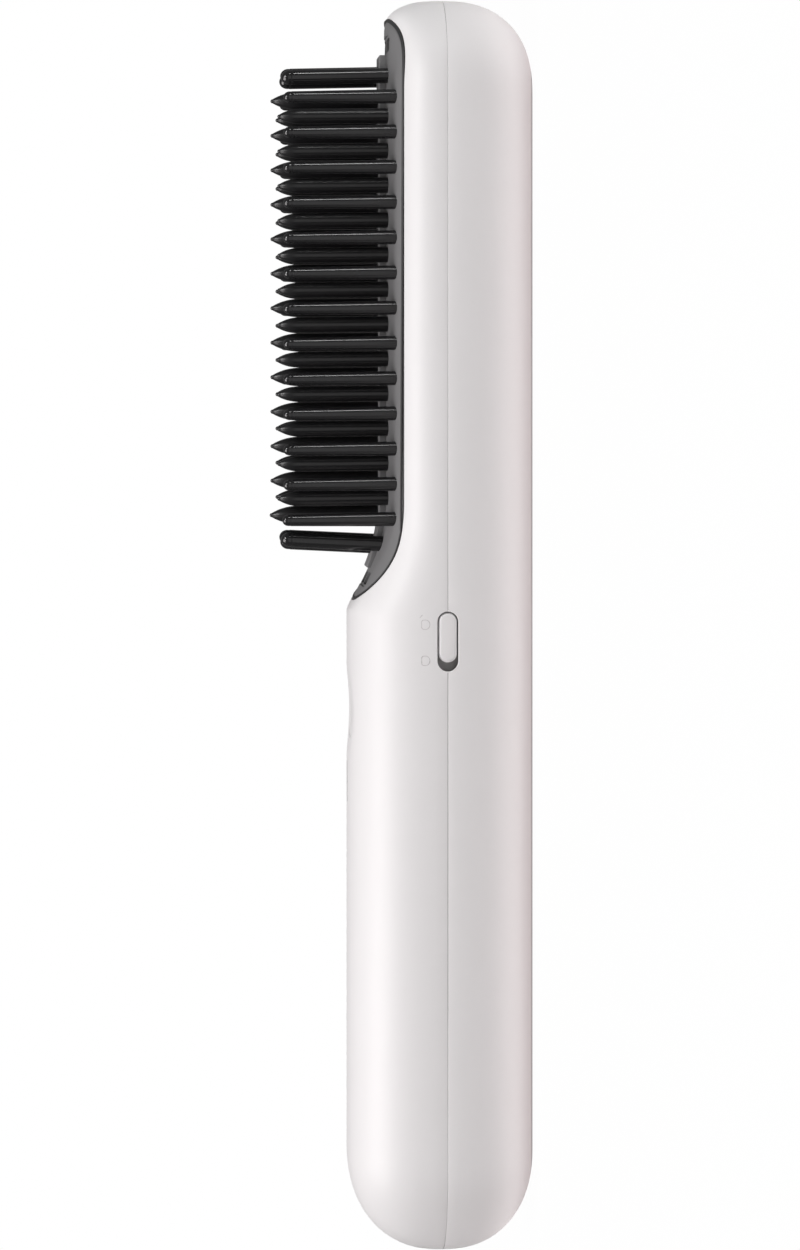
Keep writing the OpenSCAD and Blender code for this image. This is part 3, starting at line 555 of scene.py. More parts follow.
def head_skin():
    """Half of the front's skin round the opening, from the opening's edge out to the seam."""
    outline = opening_half(0)
    straight_l = tip_x - tip_l - meet_x
    seam = [(x, half_w(x)) for x in
            [meet_x + straight_l * i / 200 for i in range(201)] + tip_stations(90)]
    cells = arc_cells + side_cells + tip_cells
    neck_share, tip_share = 0.095, 0.925

    def place(i, j):
        side_i = clamp((i - arc_cells) / side_cells)
        if i <= arc_cells:
            share = neck_share * i / arc_cells
            x1, a1 = meet_x, math.pi / 2 * (1 - i / arc_cells)
        elif i <= arc_cells + side_cells:
            share = neck_share + (tip_share - neck_share) * side_i
            x1, a1 = walk(seam, side_i)[0], 0.0
        else:
            t = (i - arc_cells - side_cells) / tip_cells
            share = tip_share + (1 - tip_share) * t
            x1, a1 = tip_x, math.pi / 2 * t
        x0, y0 = walk(outline, share)
        a0 = angle_at(x0, y0)
        first = 0.13
        t = first + (1 - first) * (j - 1) / (rim_cells - 1) if j else 0.0
        tight = clamp((side_i - 0.8) / 0.2)
        t_x = t + (math.sin(math.pi / 2 * t) - t) * tight
        x = x0 + (x1 - x0) * t_x
        return skin(x, a0 + (a1 - a0) * t, 1)

    return laid_grid(cells, rim_cells, place)


def mirrored(obj):
    """Adds the other side of a piece that was laid for one side only."""
    weld(obj)
    modify(obj, "MIRROR", use_axis=(False, True, False), use_clip=True, merge_threshold=0.004 * MM)
    return obj


def soften(obj, width, segments, test):
    """Rounds the edges whose two ends pass a test."""
    with editing(obj, "EDGE"):
        pick(obj, "edges", test)
        bpy.ops.mesh.bevel(offset=width * MM, offset_type="OFFSET", segments=segments,
                           profile=0.5, affect="EDGES", clamp_overlap=True)


def on_skin_seam(co):
    """At the outer edge of a shell's seam, but for the last bit of both ends."""
    end_gap = 0.6
    return (abs(co.z - split_z) < 0.01 and abs(abs(co.y) - half_w(co.x)) < 0.02
            and tail_x + end_gap < co.x < tip_x - end_gap)


def cut_openings(obj, *more):
    """Cuts the lock's slot, the inlet's hole and any further tools out of a piece."""
    tools = [
        pill(lock_hole_l, lock_hole_w, 6, (lock_x, -half_body_w, split_z), (math.pi / 2, 0, 0)),
        pill(inlet_hole_w, inlet_hole_h, 8, (tail_x, 0, split_z), (math.pi / 2, 0, math.pi / 2)),
        *more,
    ]
    cut(obj, *tools)
    discard(*tools)


def lock_bead():
    """The rounded rim of the lock's slot."""
    points = []
    for along, across in pill_points(lock_hole_l, lock_hole_w):
        x, z = lock_x + along, split_z + across
        rise = abs(across) / (front_h(x) if across > 0 else back_h(x))
        points.append((x, rim_r - half_w(x) * dome(rise, squareness), z))
    return bead(points, rim_r)


def tail_surface_x(y, z):
    """How far along X the handle end's skin is at a point seen from behind."""
    low, high = tail_x, tail_x + tail_l
    for _ in range(40):
        x = (low + high) / 2
        h = front_h(x) if z > split_z else back_h(x)
        inside = (abs(y) / max(half_w(x), 1e-6)) ** squareness + (
            abs(z - split_z) / max(h, 1e-6)) ** squareness < 1
        low, high = (low, x) if inside else (x, high)
    return high


def inlet_bead():
    """The rounded rim of the inlet's hole."""
    sunk = 0.2
    points = [(tail_surface_x(y, split_z + z) + sunk, y, split_z + z)
              for y, z in pill_points(inlet_hole_w, inlet_hole_h)]
    return bead(points, rim_r)


def button_bead():
    """The rounded rim of the button's hole in the thumb dish."""
    cells = 96
    points = []
    for i in range(cells):
        x = button_x + button_hole_r * math.cos(math.tau * i / cells)
        y = button_hole_r * math.sin(math.tau * i / cells)
        points.append((x, y, dished(x, surface_z(button_x, y)) - button_rim_r))
    return bead(points, button_rim_r)


def shell_of(*halves):
    """One closed shell out of the halves of its outer skin."""
    obj = mirrored(join(*halves))
    face_out(obj)
    modify(obj, "SOLIDIFY", thickness=wall * MM, offset=-1, use_even_offset=True)
    soften(obj, seam_bevel, 3, on_skin_seam)
    return obj


def line_weight(x):
    """How strong the painted shade of the parting line is: full along the handle, fainter to the
    head and the tail.
    """
    to_head = clamp((x + 10) / 70)
    to_tail = clamp((-65 - x) / 40)
    return 1 - 0.75 * to_head - 0.8 * to_tail


def seam_line():
    """A dark hairline of painted shade along the parting line."""
    cells = 160
    end_gap = 0.3
    start, length = tail_x + end_gap, tip_x - tail_x - 2 * end_gap
    xs = [start + length * (1 - math.cos(math.pi * i / cells)) / 2 for i in range(cells + 1)]
    points = [(x, half_w(x) - seam_sunk, split_z) for x in xs]
    points += [(x, -y, z) for x, y, z in reversed(points)]
    obj = bead(points, seam_r, line_weight)
    cut_openings(obj)
    smooth(obj, 60)
    return settle(obj, "parting_line")


def back_shell():
    """The back half of the body."""
    xs = stations(tip_x - tip_l) + tip_stations(dome_cells)
    obj = shell_of(long_skin(xs, -1))
    cut_openings(obj)
    join(obj, half_of(lock_bead(), -1), half_of(inlet_bead(), -1))
    smooth(obj)
    return settle(obj, "back_shell_moulding")


def front_shell():
    """The front half of the body, with the rounded edge of the comb base's opening."""
    obj = shell_of(long_skin(stations(meet_x), 1), head_skin())
    soften(obj, 0.8, 5, lambda co: co.x > opening_x0 - 0.1 and co.z > split_z + 1
           and abs(co.y) < opening_half_w + 0.05
           and abs(co.z - surface_z(co.x, co.y)) < 0.03 and on_outline(co))
    cut_openings(
        obj,
        cylinder(button_hole_r, 12, (button_x, 0, handle_d), 96),
        pill(lens_l + 2 * seat_gap, lens_w + 2 * seat_gap, 12, (lens_x, 0, handle_d)))
    join(obj, half_of(lock_bead(), 1), half_of(inlet_bead(), 1), button_bead())
    smooth(obj)
    return settle(obj, "front_shell_moulding")


# ---- the comb base ----

def ridge_z(x):
    """Height of the ridge's top, which runs out a little towards the neck."""
    neck_end_x = neck_x + neck_l
    fall = ridge_fall * max(0.0, (neck_end_x - x) / (neck_end_x - ridge_x0))
    return surface_z(x, 0, base_drop) + ridge_h - fall


def crown_z(x, y):
    """Height of the comb base's top under a tooth."""
    if abs(y) < ridge_w / 2 and ridge_x0 < x < ridge_x1:
        return ridge_z(x)
    return surface_z(x, y, base_drop)


def base_skin(inset, drawn_in):
    """Half of the base's skin, from its edge in to its middle line."""
    outline = opening_half(drawn_in)
    cells, rows = 130, 14
    fan_l = 13.0
    middle = (outline[0][0] + fan_l, outline[-1][0] - fan_l)

    def place(i, j):
        x0, y0 = walk(outline, i / cells)
        x1 = min(max(x0, middle[0]), middle[1])
        t = 0.05 * min(j, 1) + 0.95 * max(j - 1, 0) / (rows - 1)
        x, y = x0 + (x1 - x0) * t, y0 * (1 - t)
        return Vector((x, y, surface_z(x, y, inset)))

    return laid_grid(cells, rows, place)


def comb_ridge():
    """The raised strip that the middle teeth stand on."""
    obj = cube((ridge_x0, -ridge_w / 2, 0), (ridge_x1, ridge_w / 2, 1))
    with editing(obj, "EDGE"):
        pick_edges(obj, lambda edge: abs(edge.verts[0].co.x - edge.verts[1].co.x) > MM)
        bpy.ops.mesh.subdivide(number_cuts=70)
    for vert in obj.data.vertices:
        x = vert.co.x / MM
        top = vert.co.z > 0.5 * MM
        vert.co.z = (ridge_z(x) if top else surface_z(x, 0, base_drop) - 1) * MM
    soften(obj, 0.3, 3, lambda co: co.z > ridge_z(co.x) - 0.01 and abs(co.y) > ridge_w / 2 - 0.01)
    return obj


def slot_cutters(x):
    """Two vents side by side, and the shallow oval recess round them."""
    z = surface_z(x, 0, base_drop)
    slope = -math.atan(surface_z(x + 0.5, 0, base_drop) - surface_z(x - 0.5, 0, base_drop))
    cutters = []
    for side in (-1, 1):
        y = side * (slot_rib + slot_w) / 2
        box = cube((-slot_l / 2, y - slot_w / 2, -6), (slot_l / 2, y + slot_w / 2, 6))
        soften(box, 0.35, 3, lambda co: True)
        cutters.append(box)
    height, recess_depth = 5, 0.35
    cutters.append(pill(2 * slot_w + slot_rib + 2, slot_l + 1, height,
                        (0, 0, height / 2 - recess_depth), (0, 0, math.pi / 2)))
    for cutter in cutters:
        cutter.rotation_euler = (0, slope, 0)
        cutter.location = Vector((x, 0, z)) * MM
        only(cutter)
        bpy.ops.object.transform_apply(location=True, rotation=True, scale=True)
    return cutters


def comb_base():
    """The grey cover: a bent plate with a rounded edge, its ridge and its vents."""
    outer = mirrored(base_skin(base_drop, fit_gap))
    inner = mirrored(base_skin(base_drop + base_t, fit_gap))
    obj = join(outer, inner)
    with editing(obj, "EDGE"):
        pick_edges(obj, lambda edge: edge.is_boundary)
        bpy.ops.mesh.bridge_edge_loops()
    face_out(obj)
    soften(obj, 0.55, 4, lambda co: abs(co.z - surface_z(co.x, co.y, base_drop)) < 0.01
           and on_outline(co, fit_gap))
    ridge = comb_ridge()
    modify(obj, "BOOLEAN", operation="UNION", object=ridge, solver="EXACT")
    tools = [ridge]
    for x in slot_xs:
        tools += slot_cutters(x)
    cut(obj, *tools[1:])
    discard(*tools)
    smooth(obj)
    return settle(obj, "comb_base_cover")


def gap_shade_bead():
    """A dark bead of painted shade in the gap round the comb base, thinner towards the neck."""
    points = [(x, y, surface_z(x, y) - gap_shade_sunk) for x, y in opening_half(gap_shade_inset)[::6]]
    points += [(x, -y, z) for x, y, z in points[-2:0:-1]]
    obj = bead(points, gap_shade_r, lambda x: 0.55 + 0.45 * clamp((x - 20) / 45))
    smooth(obj, 60)
    return settle(obj, "comb_base_gap_shade")


# ---- teeth ----

def turned(profile, sides=24):
    """A solid of revolution, drawn up ring by ring: the profile's rows are (radius, height)."""
    clear()
    r0, z0 = profile[0]
    bpy.ops.mesh.primitive_circle_add(vertices=sides, radius=r0 * MM, fill_type="NGON",
                                      location=(0, 0, z0 * MM))
    obj = bpy.context.object
    bpy.ops.object.transform_apply(location=True)
    with editing(obj, "FACE"):
        bpy.ops.mesh.select_all(action="SELECT")
        for (r_a, z_a), (r_b, z_b) in zip(profile, profile[1:]):
            bpy.ops.mesh.extrude_region_move(
                TRANSFORM_OT_translate={"value": (0, 0, (z_b - z_a) * MM)})
            k = r_b / r_a
            bpy.ops.transform.resize(value=(k, k, 1), center_override=(0, 0, z_b * MM))
    face_out(obj)
    smooth(obj, 40)
    return obj


def heated_profile(length, r, point):
    """A straight shank and a long ogive point with a tiny round end."""
    shank = length - point
    rows = [(r, 0), (r, shank * 0.5), (r, shank)]
    for i in range(1, 13):
        t = i / 12
        rows.append((tooth_tip_r + (r - tooth_tip_r) * (1 - t ** 2.8),
                     shank + (point - tooth_tip_r) * t))
    for i in range(1, 5):
        a = math.radians(22 * i)
        rows.append((tooth_tip_r * math.cos(a), length - tooth_tip_r * (1 - math.sin(a))))
    return rows


def guard_profile(length, r, taper):
    """A straight root and a tapered shank, with a fine collar under the domed end."""
    tip_r = r * taper
    dome_h = tip_r * guard_dome
    collar = length - dome_h - 0.35
    collar_r = tip_r * 1.03
    fall = (r - collar_r) / (collar - root_l)
    rows = [(r, 0), (r, root_l), (r - fall * 2, root_l + 2),
            ((r + collar_r) / 2, (root_l + collar) / 2),
            (collar_r + fall * 0.5, collar - 0.5), (collar_r, collar - 0.1),
            (tip_r, collar), (tip_r, collar + 0.12), (tip_r, length - dome_h)]
    for i in range(1, 9):
        a = math.radians(10.6 * i)
        rows.append((tip_r * math.cos(a), length - dome_h * (1 - math.sin(a))))
    return rows


def tooth_row(name, pattern, places):
    """Copies of one tooth, each with its own mesh, joined into a row."""
    copies = []
    for x, y, z, lean in places:
        copy = pattern.copy()
        copy.data = pattern.data.copy()
        bpy.context.scene.collection.objects.link(copy)
        copy.rotation_euler = (0, lean, 0)
        copy.location = Vector((x, y, z)) * MM
        copies.append(copy)
    row = join(*copies)
    return settle(row, name)


def heated_rows():
    """The three rows of heated teeth, which all stand on the heating plate."""
    plate_top = span("heated_teeth")[0].z
    rows = []
    for name, y, r, point in (("heated_teeth_middle", 0, stout_r, stout_point_l),
                              ("heated_teeth_left", -row_gap, heated_r, point_l),
                              ("heated_teeth_right", row_gap, heated_r, point_l)):
        side = 1 if y else 0
        xs = [row_x + (i + side / 2) * tooth_pitch for i in range(tooth_count - side)]
        lengths = [surface_z(x, 0, base_drop) + ridge_h + heated_l - plate_top for x in xs]
        pattern = turned(heated_profile(lengths[-1] - side * side_drop, r, point))
        places = [(x + row_shift, y, plate_top + length - lengths[-1], -row_fan)
                  for x, length in zip(xs, lengths)]
        rows.append(tooth_row(name, pattern, places))
        discard(pattern)
    return rows


def guard_rows():
    """The two outer rows of guard teeth, and the short row across each end."""
    rows = []
    pattern = turned(guard_profile(guard_l + socket_depth, guard_r, guard_taper))
    for name, y in (("guard_teeth_left", -2 * row_gap), ("guard_teeth_right", 2 * row_gap)):
        xs = [row_x - guard_lead + i * guard_pitch for i in range(tooth_count)]
        places = [(x + row_shift, y, crown_z(x, y) - socket_depth, -row_fan) for x in xs]
        rows.append(tooth_row(name, pattern, places))
    discard(pattern)
    for name, x, lean in (("end_teeth_neck", end_xs[0], neck_lean),
                          ("end_teeth_head", end_xs[1], -head_lean)):
        parts = []
        for y in (-row_gap, 0, row_gap):
            out = 0 if y else math.copysign(end_bow, x - row_x)
            length = head_d - base_drop + ridge_h + end_tooth_l - crown_z(x, y)
            pattern = turned(guard_profile(length + socket_depth, end_tooth_r, end_taper))
            place_at = (x + out, y, crown_z(x, y) - socket_depth, lean)
            parts.append(tooth_row("tooth", pattern, [place_at]))
            discard(pattern)
        rows.append(settle(join(*parts), name))
    return rows


# ---- controls ----

def power_button():
    """A round key whose face carries on the thumb dish."""
    foot_z = span("power_button")[0].z
    rim_z = foot_z + button_flange_t
    key_top = handle_d - dish_depth - 0.1
    edge = 0.25
    profile = [(button_flange_r, foot_z), (button_flange_r, rim_z), (button_r, rim_z),
               (button_r, key_top - edge - 0.1)]
    for r in (button_r - 0.02, button_r - 0.1, button_r - edge, 4.0, 3.0, 2.0, 1.0, 0.1):
        profile.append((r, key_top - edge * (1 - min((button_r - r) / edge, 1)) ** 2))
    obj = turned(profile, 96)
    obj.location = Vector((button_x, 0, 0)) * MM
    settle(obj, "power_button_key")
    for vert in obj.data.vertices:
        if vert.co.z > (key_top - 0.3) * MM:
            vert.co.z += dish_rise(vert.co.x / MM) * MM
    return obj


def lock_knob():
    """The pill-shaped knob."""
    low, high = span("lock_slider")
    middle = ((low.x + high.x) / 2, (low.y + slider_flange_y) / 2, split_z)
    obj = pill(knob_l, knob_w, slider_flange_y - low.y, middle, (math.pi / 2, 0, 0))
    soften(obj, 0.6, 5, lambda co: co.y < low.y + 0.01)
    smooth(obj)
    return settle(obj, "lock_slider_knob")


def lock_carrier():
    """The flange behind the wall, in a grey of painted shade for the inside of the slot, with the
    fork that holds the switch's lever.
    """
    low, high = span("lock_slider")
    x = (low.x + high.x) / 2
    obj = pill(slider_flange_l, slider_flange_w, slider_flange_t,
               (x, slider_flange_y + slider_flange_t / 2, split_z), (math.pi / 2, 0, 0))
    soften(obj, 0.15, 2, lambda co: True)
    for side in (-1, 1):
        prong_x = x + side * 1.3
        prong = cube((prong_x - 0.7, slider_flange_y + 0.5, split_z - knob_w / 2),
                     (prong_x + 0.7, high.y, split_z + knob_w / 2))
        soften(prong, 0.12, 2, lambda co: True)
        join(obj, prong)
    smooth(obj)
    return settle(obj, "lock_slider_carrier")


def light_window():
    """The pill-shaped window of the indicator lights."""
    low, high = span("indicator_lens")
    obj = pill(lens_l, lens_w, high.z - low.z, (lens_x, 0, (high.z + low.z) / 2))
    soften(obj, 0.18, 3, lambda co: co.z > high.z - 0.01)
    smooth(obj)
    return settle(obj, "light_window")


def padlock(x, z, is_open, name):
    """A small padlock in outline, printed on the front shell with its shackle to the back."""
    line = 0.1
    angles = [math.pi * i / 10 for i in range(11)]
    arch = [(0.85 * math.cos(a), -0.75 * math.sin(a)) for a in angles]
    strokes = [([(-0.82, 0.5), (-0.6, 0.72), (0.6, 0.72), (0.82, 0.5)] + arch, True)]
    if is_open:
        strokes.append(([(1.25, 1.05), (1.75, 0.6)], False))
    parts = []
    for marks, closed in strokes:
        points = []
        for along, across in marks:
            px, pz = x + along, z + across
            y = -half_w(px) * dome((pz - split_z) / front_h(px), squareness) + line * 0.8
            points.append((px, y, pz))
        stroke = bead(points, line, closed=closed, roundness=1)
        weld(stroke, 0.001)
        face_out(stroke)
        parts.append(stroke)
    return settle(join(*parts), name)


# ---- materials ----

class Wire:
    """A shader socket. Arithmetic on it adds Math nodes."""

    def __init__(self, paint, socket):
        self.paint = paint
        self.socket = socket

    def maths(self, operation, a, b):
        return self.paint.node("ShaderNodeMath", {"operation": operation}, {0: a, 1: b})

    def __add__(self, other):
        return self.maths("ADD", self, other)

    def __sub__(self, other):
        return self.maths("SUBTRACT", self, other)

    def __rsub__(self, other):
        return self.maths("SUBTRACT", other, self)

    def __mul__(self, other):
        return self.maths("MULTIPLY", self, other)

    __radd__ = __add__
    __rmul__ = __mul__


class Paint:
    """One material, built round a Principled shader."""

    def __init__(self, name, **settings):
        self.material = bpy.data.materials.new(name)
        self.material.use_nodes = True
        self.tree = self.material.node_tree
        self.shader = self.tree.nodes["Principled BSDF"]
        self.feed(**settings)

    def node(self, kind, settings, values, out=0):
        """Adds a node: its type, its settings, then its sockets' values or links."""
        made = self.tree.nodes.new(kind)
        for key, value in settings.items():
            setattr(made, key, value)
        for key, value in values.items():
            self.put(made.inputs[key], value)
        return Wire(self, made.outputs[out])

    def put(self, socket, value):
        if isinstance(value, Wire):
            self.tree.links.new(value.socket, socket)
        else:
            socket.default_value = value

    def feed(self, **settings):
        """Gives the shader's own sockets a value or a link: Base_Color is Base Color."""
        for key, value in settings.items():
            self.put(self.shader.inputs[key.replace("_", " ")], value)

    def spots(self, per_metre, detail=3.0, stretch=(1, 1, 1)):
        """Soft noise on the piece's own coordinates, from 0 to 1."""
        at = self.node("ShaderNodeTexCoord", {}, {}, 3)
        placed = self.node("ShaderNodeMapping", {}, {"Vector": at, "Scale": stretch})
        return self.node("ShaderNodeTexNoise", {}, {
            "Vector": placed, "Scale": per_metre, "Detail": detail, "Roughness": 0.55})

    def blend(self, factor, a, b):
        """Mixes two colours."""
        made = self.node("ShaderNodeMix", {"data_type": "RGBA"}, {"Factor": factor}, 2)
        for socket, value in zip(made.socket.node.inputs[6:8], (a, b)):
            self.put(socket, value if isinstance(value, Wire) else (*value, 1))
        return made

    def bump(self, height, depth_mm, strength=1.0):
        self.feed(Normal=self.node("ShaderNodeBump", {}, {
            "Height": height, "Distance": depth_mm * MM, "Strength": strength}))


def moulded(name, colour, rough, grain=0.01, shade=0.03, coat=0.0, sheen=0.5):
    """Moulded plastic: a faint cloudiness, an uneven gloss and a fine spark-eroded grain."""
    paint = Paint(name, Coat_Weight=coat, Coat_Roughness=0.3, Specular_IOR_Level=sheen)
    cloud = paint.spots(35, 2)
    darker = tuple(c * (1 - shade) for c in colour)
    paint.feed(Base_Color=paint.blend(cloud, darker, colour),
               Roughness=paint.spots(140, 3) * 0.12 + (rough - 0.06))
    paint.bump(paint.spots(2600, 2), grain)
    return paint.material


def metal(name, colour, rough, stretch=(1, 1, 1)):
    """Bare or plated metal, with faint drawing marks."""
    paint = Paint(name, Metallic=1.0)
    marks = paint.spots(900, 4, stretch)
    paint.feed(Base_Color=paint.blend(marks, tuple(c * 0.85 for c in colour), colour),
               Roughness=marks * 0.2 + (rough - 0.1))
    paint.bump(marks, 0.01)
    return paint.material


def coated(name, colour, rough):
    """Glossy near-black coat with a faint flow along the tooth."""
    paint = Paint(name, Specular_IOR_Level=0.5)
    cloud = paint.spots(220, 3, (1, 1, 0.2))
    paint.feed(Base_Color=paint.blend(cloud, tuple(c * 0.7 for c in colour), colour),
               Roughness=paint.spots(600, 3, (1, 1, 0.2)) * 0.06 + (rough - 0.03))
    paint.bump(paint.spots(900, 2, (1, 1, 0.3)), 0.0012)
    return paint.material


def board(name):
    """Green solder mask with paler copper tracks under it."""
    paint = Paint(name, Roughness=0.4)
    lines = paint.node("ShaderNodeTexBrick", {"offset": 0.5}, {
        "Vector": paint.node("ShaderNodeTexCoord", {}, {}, 3), "Scale": 300.0, "Mortar Size": 0.08},
        1)
    paint.feed(Base_Color=paint.blend(lines, (0.012, 0.09, 0.035), (0.03, 0.17, 0.07)))
    paint.bump(lines, 0.03)
    return paint.material


def foam(name):
    """Closed-cell foam."""
    paint = Paint(name, Roughness=0.9)
    cells = paint.node("ShaderNodeTexVoronoi", {}, {
        "Vector": paint.node("ShaderNodeTexCoord", {}, {}, 3), "Scale": 1500.0})
    paint.feed(Base_Color=paint.blend(cells, (0.02, 0.02, 0.02), (0.06, 0.06, 0.06)))
    paint.bump(cells, 0.1)
    return paint.material


def glowing_window(name):
    """Milky plastic that lets the lights through."""
    paint = Paint(name, Transmission_Weight=0.15, IOR=1.47)
    cloud = paint.spots(500, 2)
    paint.feed(Base_Color=paint.blend(cloud, (0.74, 0.74, 0.73), (0.82, 0.82, 0.81)),
               Roughness=cloud * 0.1 + 0.2)
    return paint.material


shell_colour = (0.88, 0.877, 0.878)
shell_paint = moulded("satin pinkish-white plastic", shell_colour, 0.5, 0.004, 0.012, 0.1, 0.36)
knob_paint = moulded("lock knob plastic", (0.88, 0.872, 0.874), 0.42, 0.004, 0.015, 0.12)
base_paint = moulded("matte grey plastic", (0.21, 0.21, 0.213), 0.5, 0.02, 0.08)
heated_paint = coated("ceramic-coated metal", (0.012, 0.012, 0.013), 0.3)
guard_paint = coated("heat-proof black plastic", (0.016, 0.016, 0.017), 0.13)
print_paint = moulded("pale grey print", (0.56, 0.545, 0.545), 0.5, 0.003, 0.05)
# Painted shade: the flange's grey stands in for the shade that falls on it inside the lock's slot
carrier_shade_paint = moulded("lock slide plastic", (0.36, 0.35, 0.35), 0.45, 0.004, 0.05)
# Painted shade: a dark hairline stands in for the shadow in the crack between the two shells
seam_paint = moulded("parting line shade", (0.3, 0.29, 0.29), 0.7, 0.004, 0.05)
# Painted shade: a near-black bead stands in for the shadow in the gap round the comb base
gap_shade_paint = moulded("painted gap shade", (0.035, 0.035, 0.036), 0.5, 0.004, 0.1)
window_paint = glowing_window("milky light window")
steel_paint = metal("plated steel", (0.62, 0.62, 0.63), 0.3, (4, 1, 1))
board_paint = board("solder mask")

slot_paints = {
    "plate": metal("die-cast aluminium", (0.6, 0.61, 0.63), 0.45),
    "ceramic": moulded("bare ceramic", (0.72, 0.68, 0.6), 0.7, 0.02, 0.1),
    "mica": moulded("mica sheet", (0.5, 0.4, 0.22), 0.45, 0.01, 0.25),
    "steel": steel_paint,
    "sensor": moulded("epoxy bead", (0.03, 0.03, 0.03), 0.4, 0.01, 0.2),
    "frame_plastic": moulded("inner frame plastic", (0.55, 0.55, 0.55), 0.55, 0.02, 0.06),
    "cell_wrap": moulded("cell sleeve", (0.05, 0.16, 0.36), 0.3, 0.006, 0.08),
    "foam": foam("closed foam"),
    "board": board_paint,
    "component": moulded("component plastic", (0.02, 0.02, 0.02), 0.5, 0.02, 0.3),
    "plunger": moulded("plunger plastic", (0.68, 0.66, 0.62), 0.45, 0.01, 0.04),
    "led": moulded("light-emitting diodes", (0.8, 0.72, 0.4), 0.3, 0.005, 0.1),
    "port": metal("stamped steel", (0.68, 0.68, 0.7), 0.25, (1, 6, 6)),
    "wire_red": moulded("red silicone", (0.42, 0.04, 0.03), 0.5, 0.01, 0.1),
    "wire_blue": moulded("blue silicone", (0.04, 0.09, 0.36), 0.5, 0.01, 0.1),
    "wire_grey": moulded("grey silicone", (0.42, 0.42, 0.42), 0.5, 0.01, 0.1),
    "shell": shell_paint,
    "base": base_paint,
    "heated_tooth": heated_paint,
    "guard_tooth": guard_paint,
    "lens": window_paint,
}


def dress(obj, paint):
    """Gives an object one material."""
    obj.data.materials.clear()
    obj.data.materials.append(paint)


for subpart in frame["record"]["subparts"]:
    dress(nodes[subpart["node"]], slot_paints[subpart["material_slot"]])


# ---- the pieces ----

def fit(obj, body, slot, paint, *replaced):
    """Gives a piece its material and the body that it rides on, and hides the nodes that it stands
    for.
    """
    dress(obj, paint)
    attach(obj, body)
    if replaced:
        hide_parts(*replaced)


fit(back_shell(), "housing", "shell", shell_paint, "back_shell")
fit(front_shell(), "housing", "shell", shell_paint, "front_shell")
fit(seam_line(), "housing", "component", seam_paint)
fit(comb_base(), "housing", "base", base_paint, "comb_base")
fit(gap_shade_bead(), "housing", "component", gap_shade_paint)
for row in heated_rows():
    fit(row, "housing", "heated_tooth", heated_paint, "heated_teeth")
for row in guard_rows():
    fit(row, "housing", "guard_tooth", guard_paint, "guard_teeth")
fit(power_button(), "button", "shell", shell_paint, "power_button")
fit(lock_knob(), "lock", "shell", knob_paint, "lock_slider")
fit(lock_carrier(), "lock", "component", carrier_shade_paint, "lock_slider")
fit(light_window(), "housing", "lens", window_paint, "indicator_lens")
fit(padlock(open_mark_x, mark_z, True, "open_padlock_mark"), "housing", "base", print_paint)
fit(padlock(closed_mark_x, mark_z, False, "closed_padlock_mark"), "housing", "base", print_paint)


# ---- floor, light and camera ----

def floor():
    """White to the camera but for the comb's own soft shadow, which fades out round it."""
    clear()
    bpy.ops.mesh.primitive_plane_add(size=40)
    obj = bpy.context.object
    obj.name = "floor"
    paint = Paint("pale floor", Base_Color=(0.62, 0.61, 0.61, 1), Roughness=0.9)
    at = paint.node("ShaderNodeTexCoord", {}, {}, 3)
    away = paint.node("ShaderNodeVectorMath", {"operation": "LENGTH"}, {0: at}, 1)
    fade = paint.node("ShaderNodeMapRange", {}, {
        "Value": away, "From Min": 0.15, "From Max": 0.5, "To Min": 0.985, "To Max": 1.0})
    camera_ray = paint.node("ShaderNodeLightPath", {}, {})
    lit = paint.node("ShaderNodeEmission", {}, {"Color": (1, 1, 1, 1), "Strength": 1.0})
    mixed = paint.node("ShaderNodeMixShader", {}, {
        0: camera_ray * fade, 1: Wire(paint, paint.shader.outputs[0]), 2: lit})
    paint.put(paint.tree.nodes["Material Output"].inputs["Surface"], mixed)
    dress(obj, paint.material)


def sky():
    """White where the camera sees it, and a dim even light for the rest."""
    world = bpy.data.worlds.new("studio")
    bpy.context.scene.world = world
    world.use_nodes = True
    tree = world.node_tree
    rays = tree.nodes.new("ShaderNodeLightPath")
    either = tree.nodes.new("ShaderNodeMath")
    either.operation = "MAXIMUM"
    tree.links.new(rays.outputs["Is Camera Ray"], either.inputs[0])
    tree.links.new(rays.outputs["Is Transmission Ray"], either.inputs[1])
    strength = tree.nodes.new("ShaderNodeMapRange")
    strength.inputs["To Min"].default_value = 0.17
    tree.links.new(either.outputs[0], strength.inputs["Value"])
    background = tree.nodes["Background"]
    background.inputs["Color"].default_value = (1, 1, 1, 1)
    tree.links.new(strength.outputs["Result"], background.inputs["Strength"])


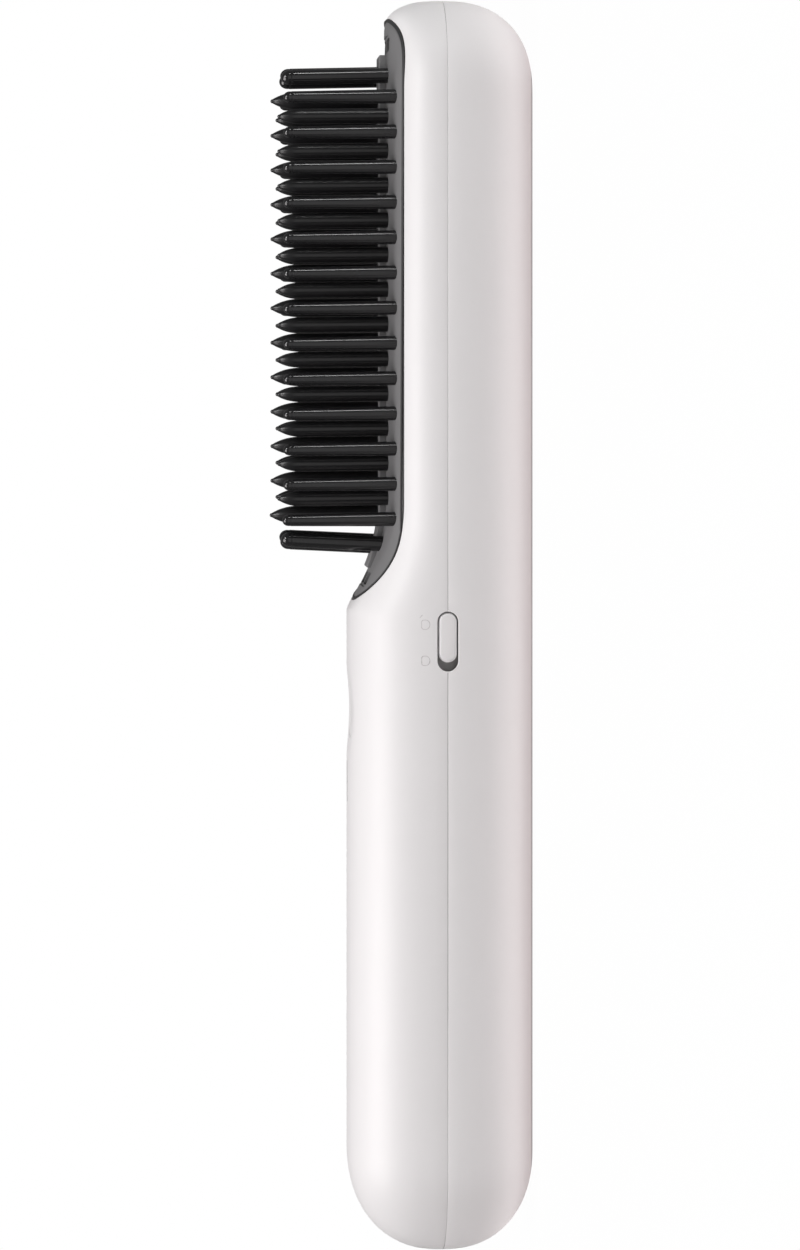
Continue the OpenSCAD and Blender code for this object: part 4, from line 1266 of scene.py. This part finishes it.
def softbox(name, place, aim, width, height, power, colour=(1, 1, 1)):
    """A rectangular light, in metres and watts, which the camera doesn't see."""
    data = bpy.data.lights.new(name, "AREA")
    data.shape = "RECTANGLE"
    data.size = width
    data.size_y = height
    data.energy = power
    data.color = colour
    obj = bpy.data.objects.new(name, data)
    bpy.context.scene.collection.objects.link(obj)
    obj.location = place
    obj.rotation_euler = (Vector(aim) - Vector(place)).to_track_quat("-Z", "Y").to_euler()
    obj.visible_camera = False
    return obj


def card(name, place, aim, width, height, brightness):
    """A light that only reflections show."""
    obj = softbox(name, place, aim, width, height, brightness * math.pi * width * height)
    obj.visible_diffuse = False


def camera():
    """Looks along +Y with the head up, raised a little towards the teeth."""
    distance = 750.0
    raised = math.radians(3.5)
    aim = Vector((46.0, 0, 24.1))
    frame_height = 1250
    pixels_per_mm = 5.412
    back = Vector((0, -math.cos(raised), math.sin(raised)))
    right = Vector((0, -math.sin(raised), -math.cos(raised)))
    data = bpy.data.cameras.new("camera")
    data.sensor_width = 36.0
    data.lens = pixels_per_mm * distance * data.sensor_width / frame_height
    data.shift_y = -0.2
    data.clip_start = 0.01
    obj = bpy.data.objects.new("camera", data)
    bpy.context.scene.collection.objects.link(obj)
    turn = Matrix((right, (1, 0, 0), back)).transposed()
    obj.matrix_world = Matrix.Translation((aim + back * distance) * MM) @ turn.to_4x4()
    bpy.context.scene.camera = obj


floor()
sky()
# Each light: its place, what it faces, its width and height, and its watts or its brightness
softbox("above", (-0.2, -0.22, 0.79), (-0.05, 0, 0.02), 0.6, 0.5, 6.2, (1.0, 0.96, 0.963))
head_side = softbox("head side", (0.76, -0.34, 0.1), (0.07, 0, 0.02), 0.3, 0.2, 2.2)
head_side.visible_glossy = False
softbox("table glow", (0, 0, 0.0003), (0, 0, 1), 0.26, 0.05, 0.014, (1.0, 0.88, 0.88))
card("tooth line", (0.657, -0.368, 0.046), (0.055, 0, 0.046), 0.055, 0.09, 24.0)
card("front", (-0.05, -0.7, 0.122), (-0.05, 0, 0.122), 0.95, 0.24, 0.6)
card("tip sparkle", (0.2, -0.25, 0.45), (0.055, 0, 0.04), 0.15, 0.15, 14.0)
camera()
bpy.context.scene.view_settings.view_transform = "Standard"
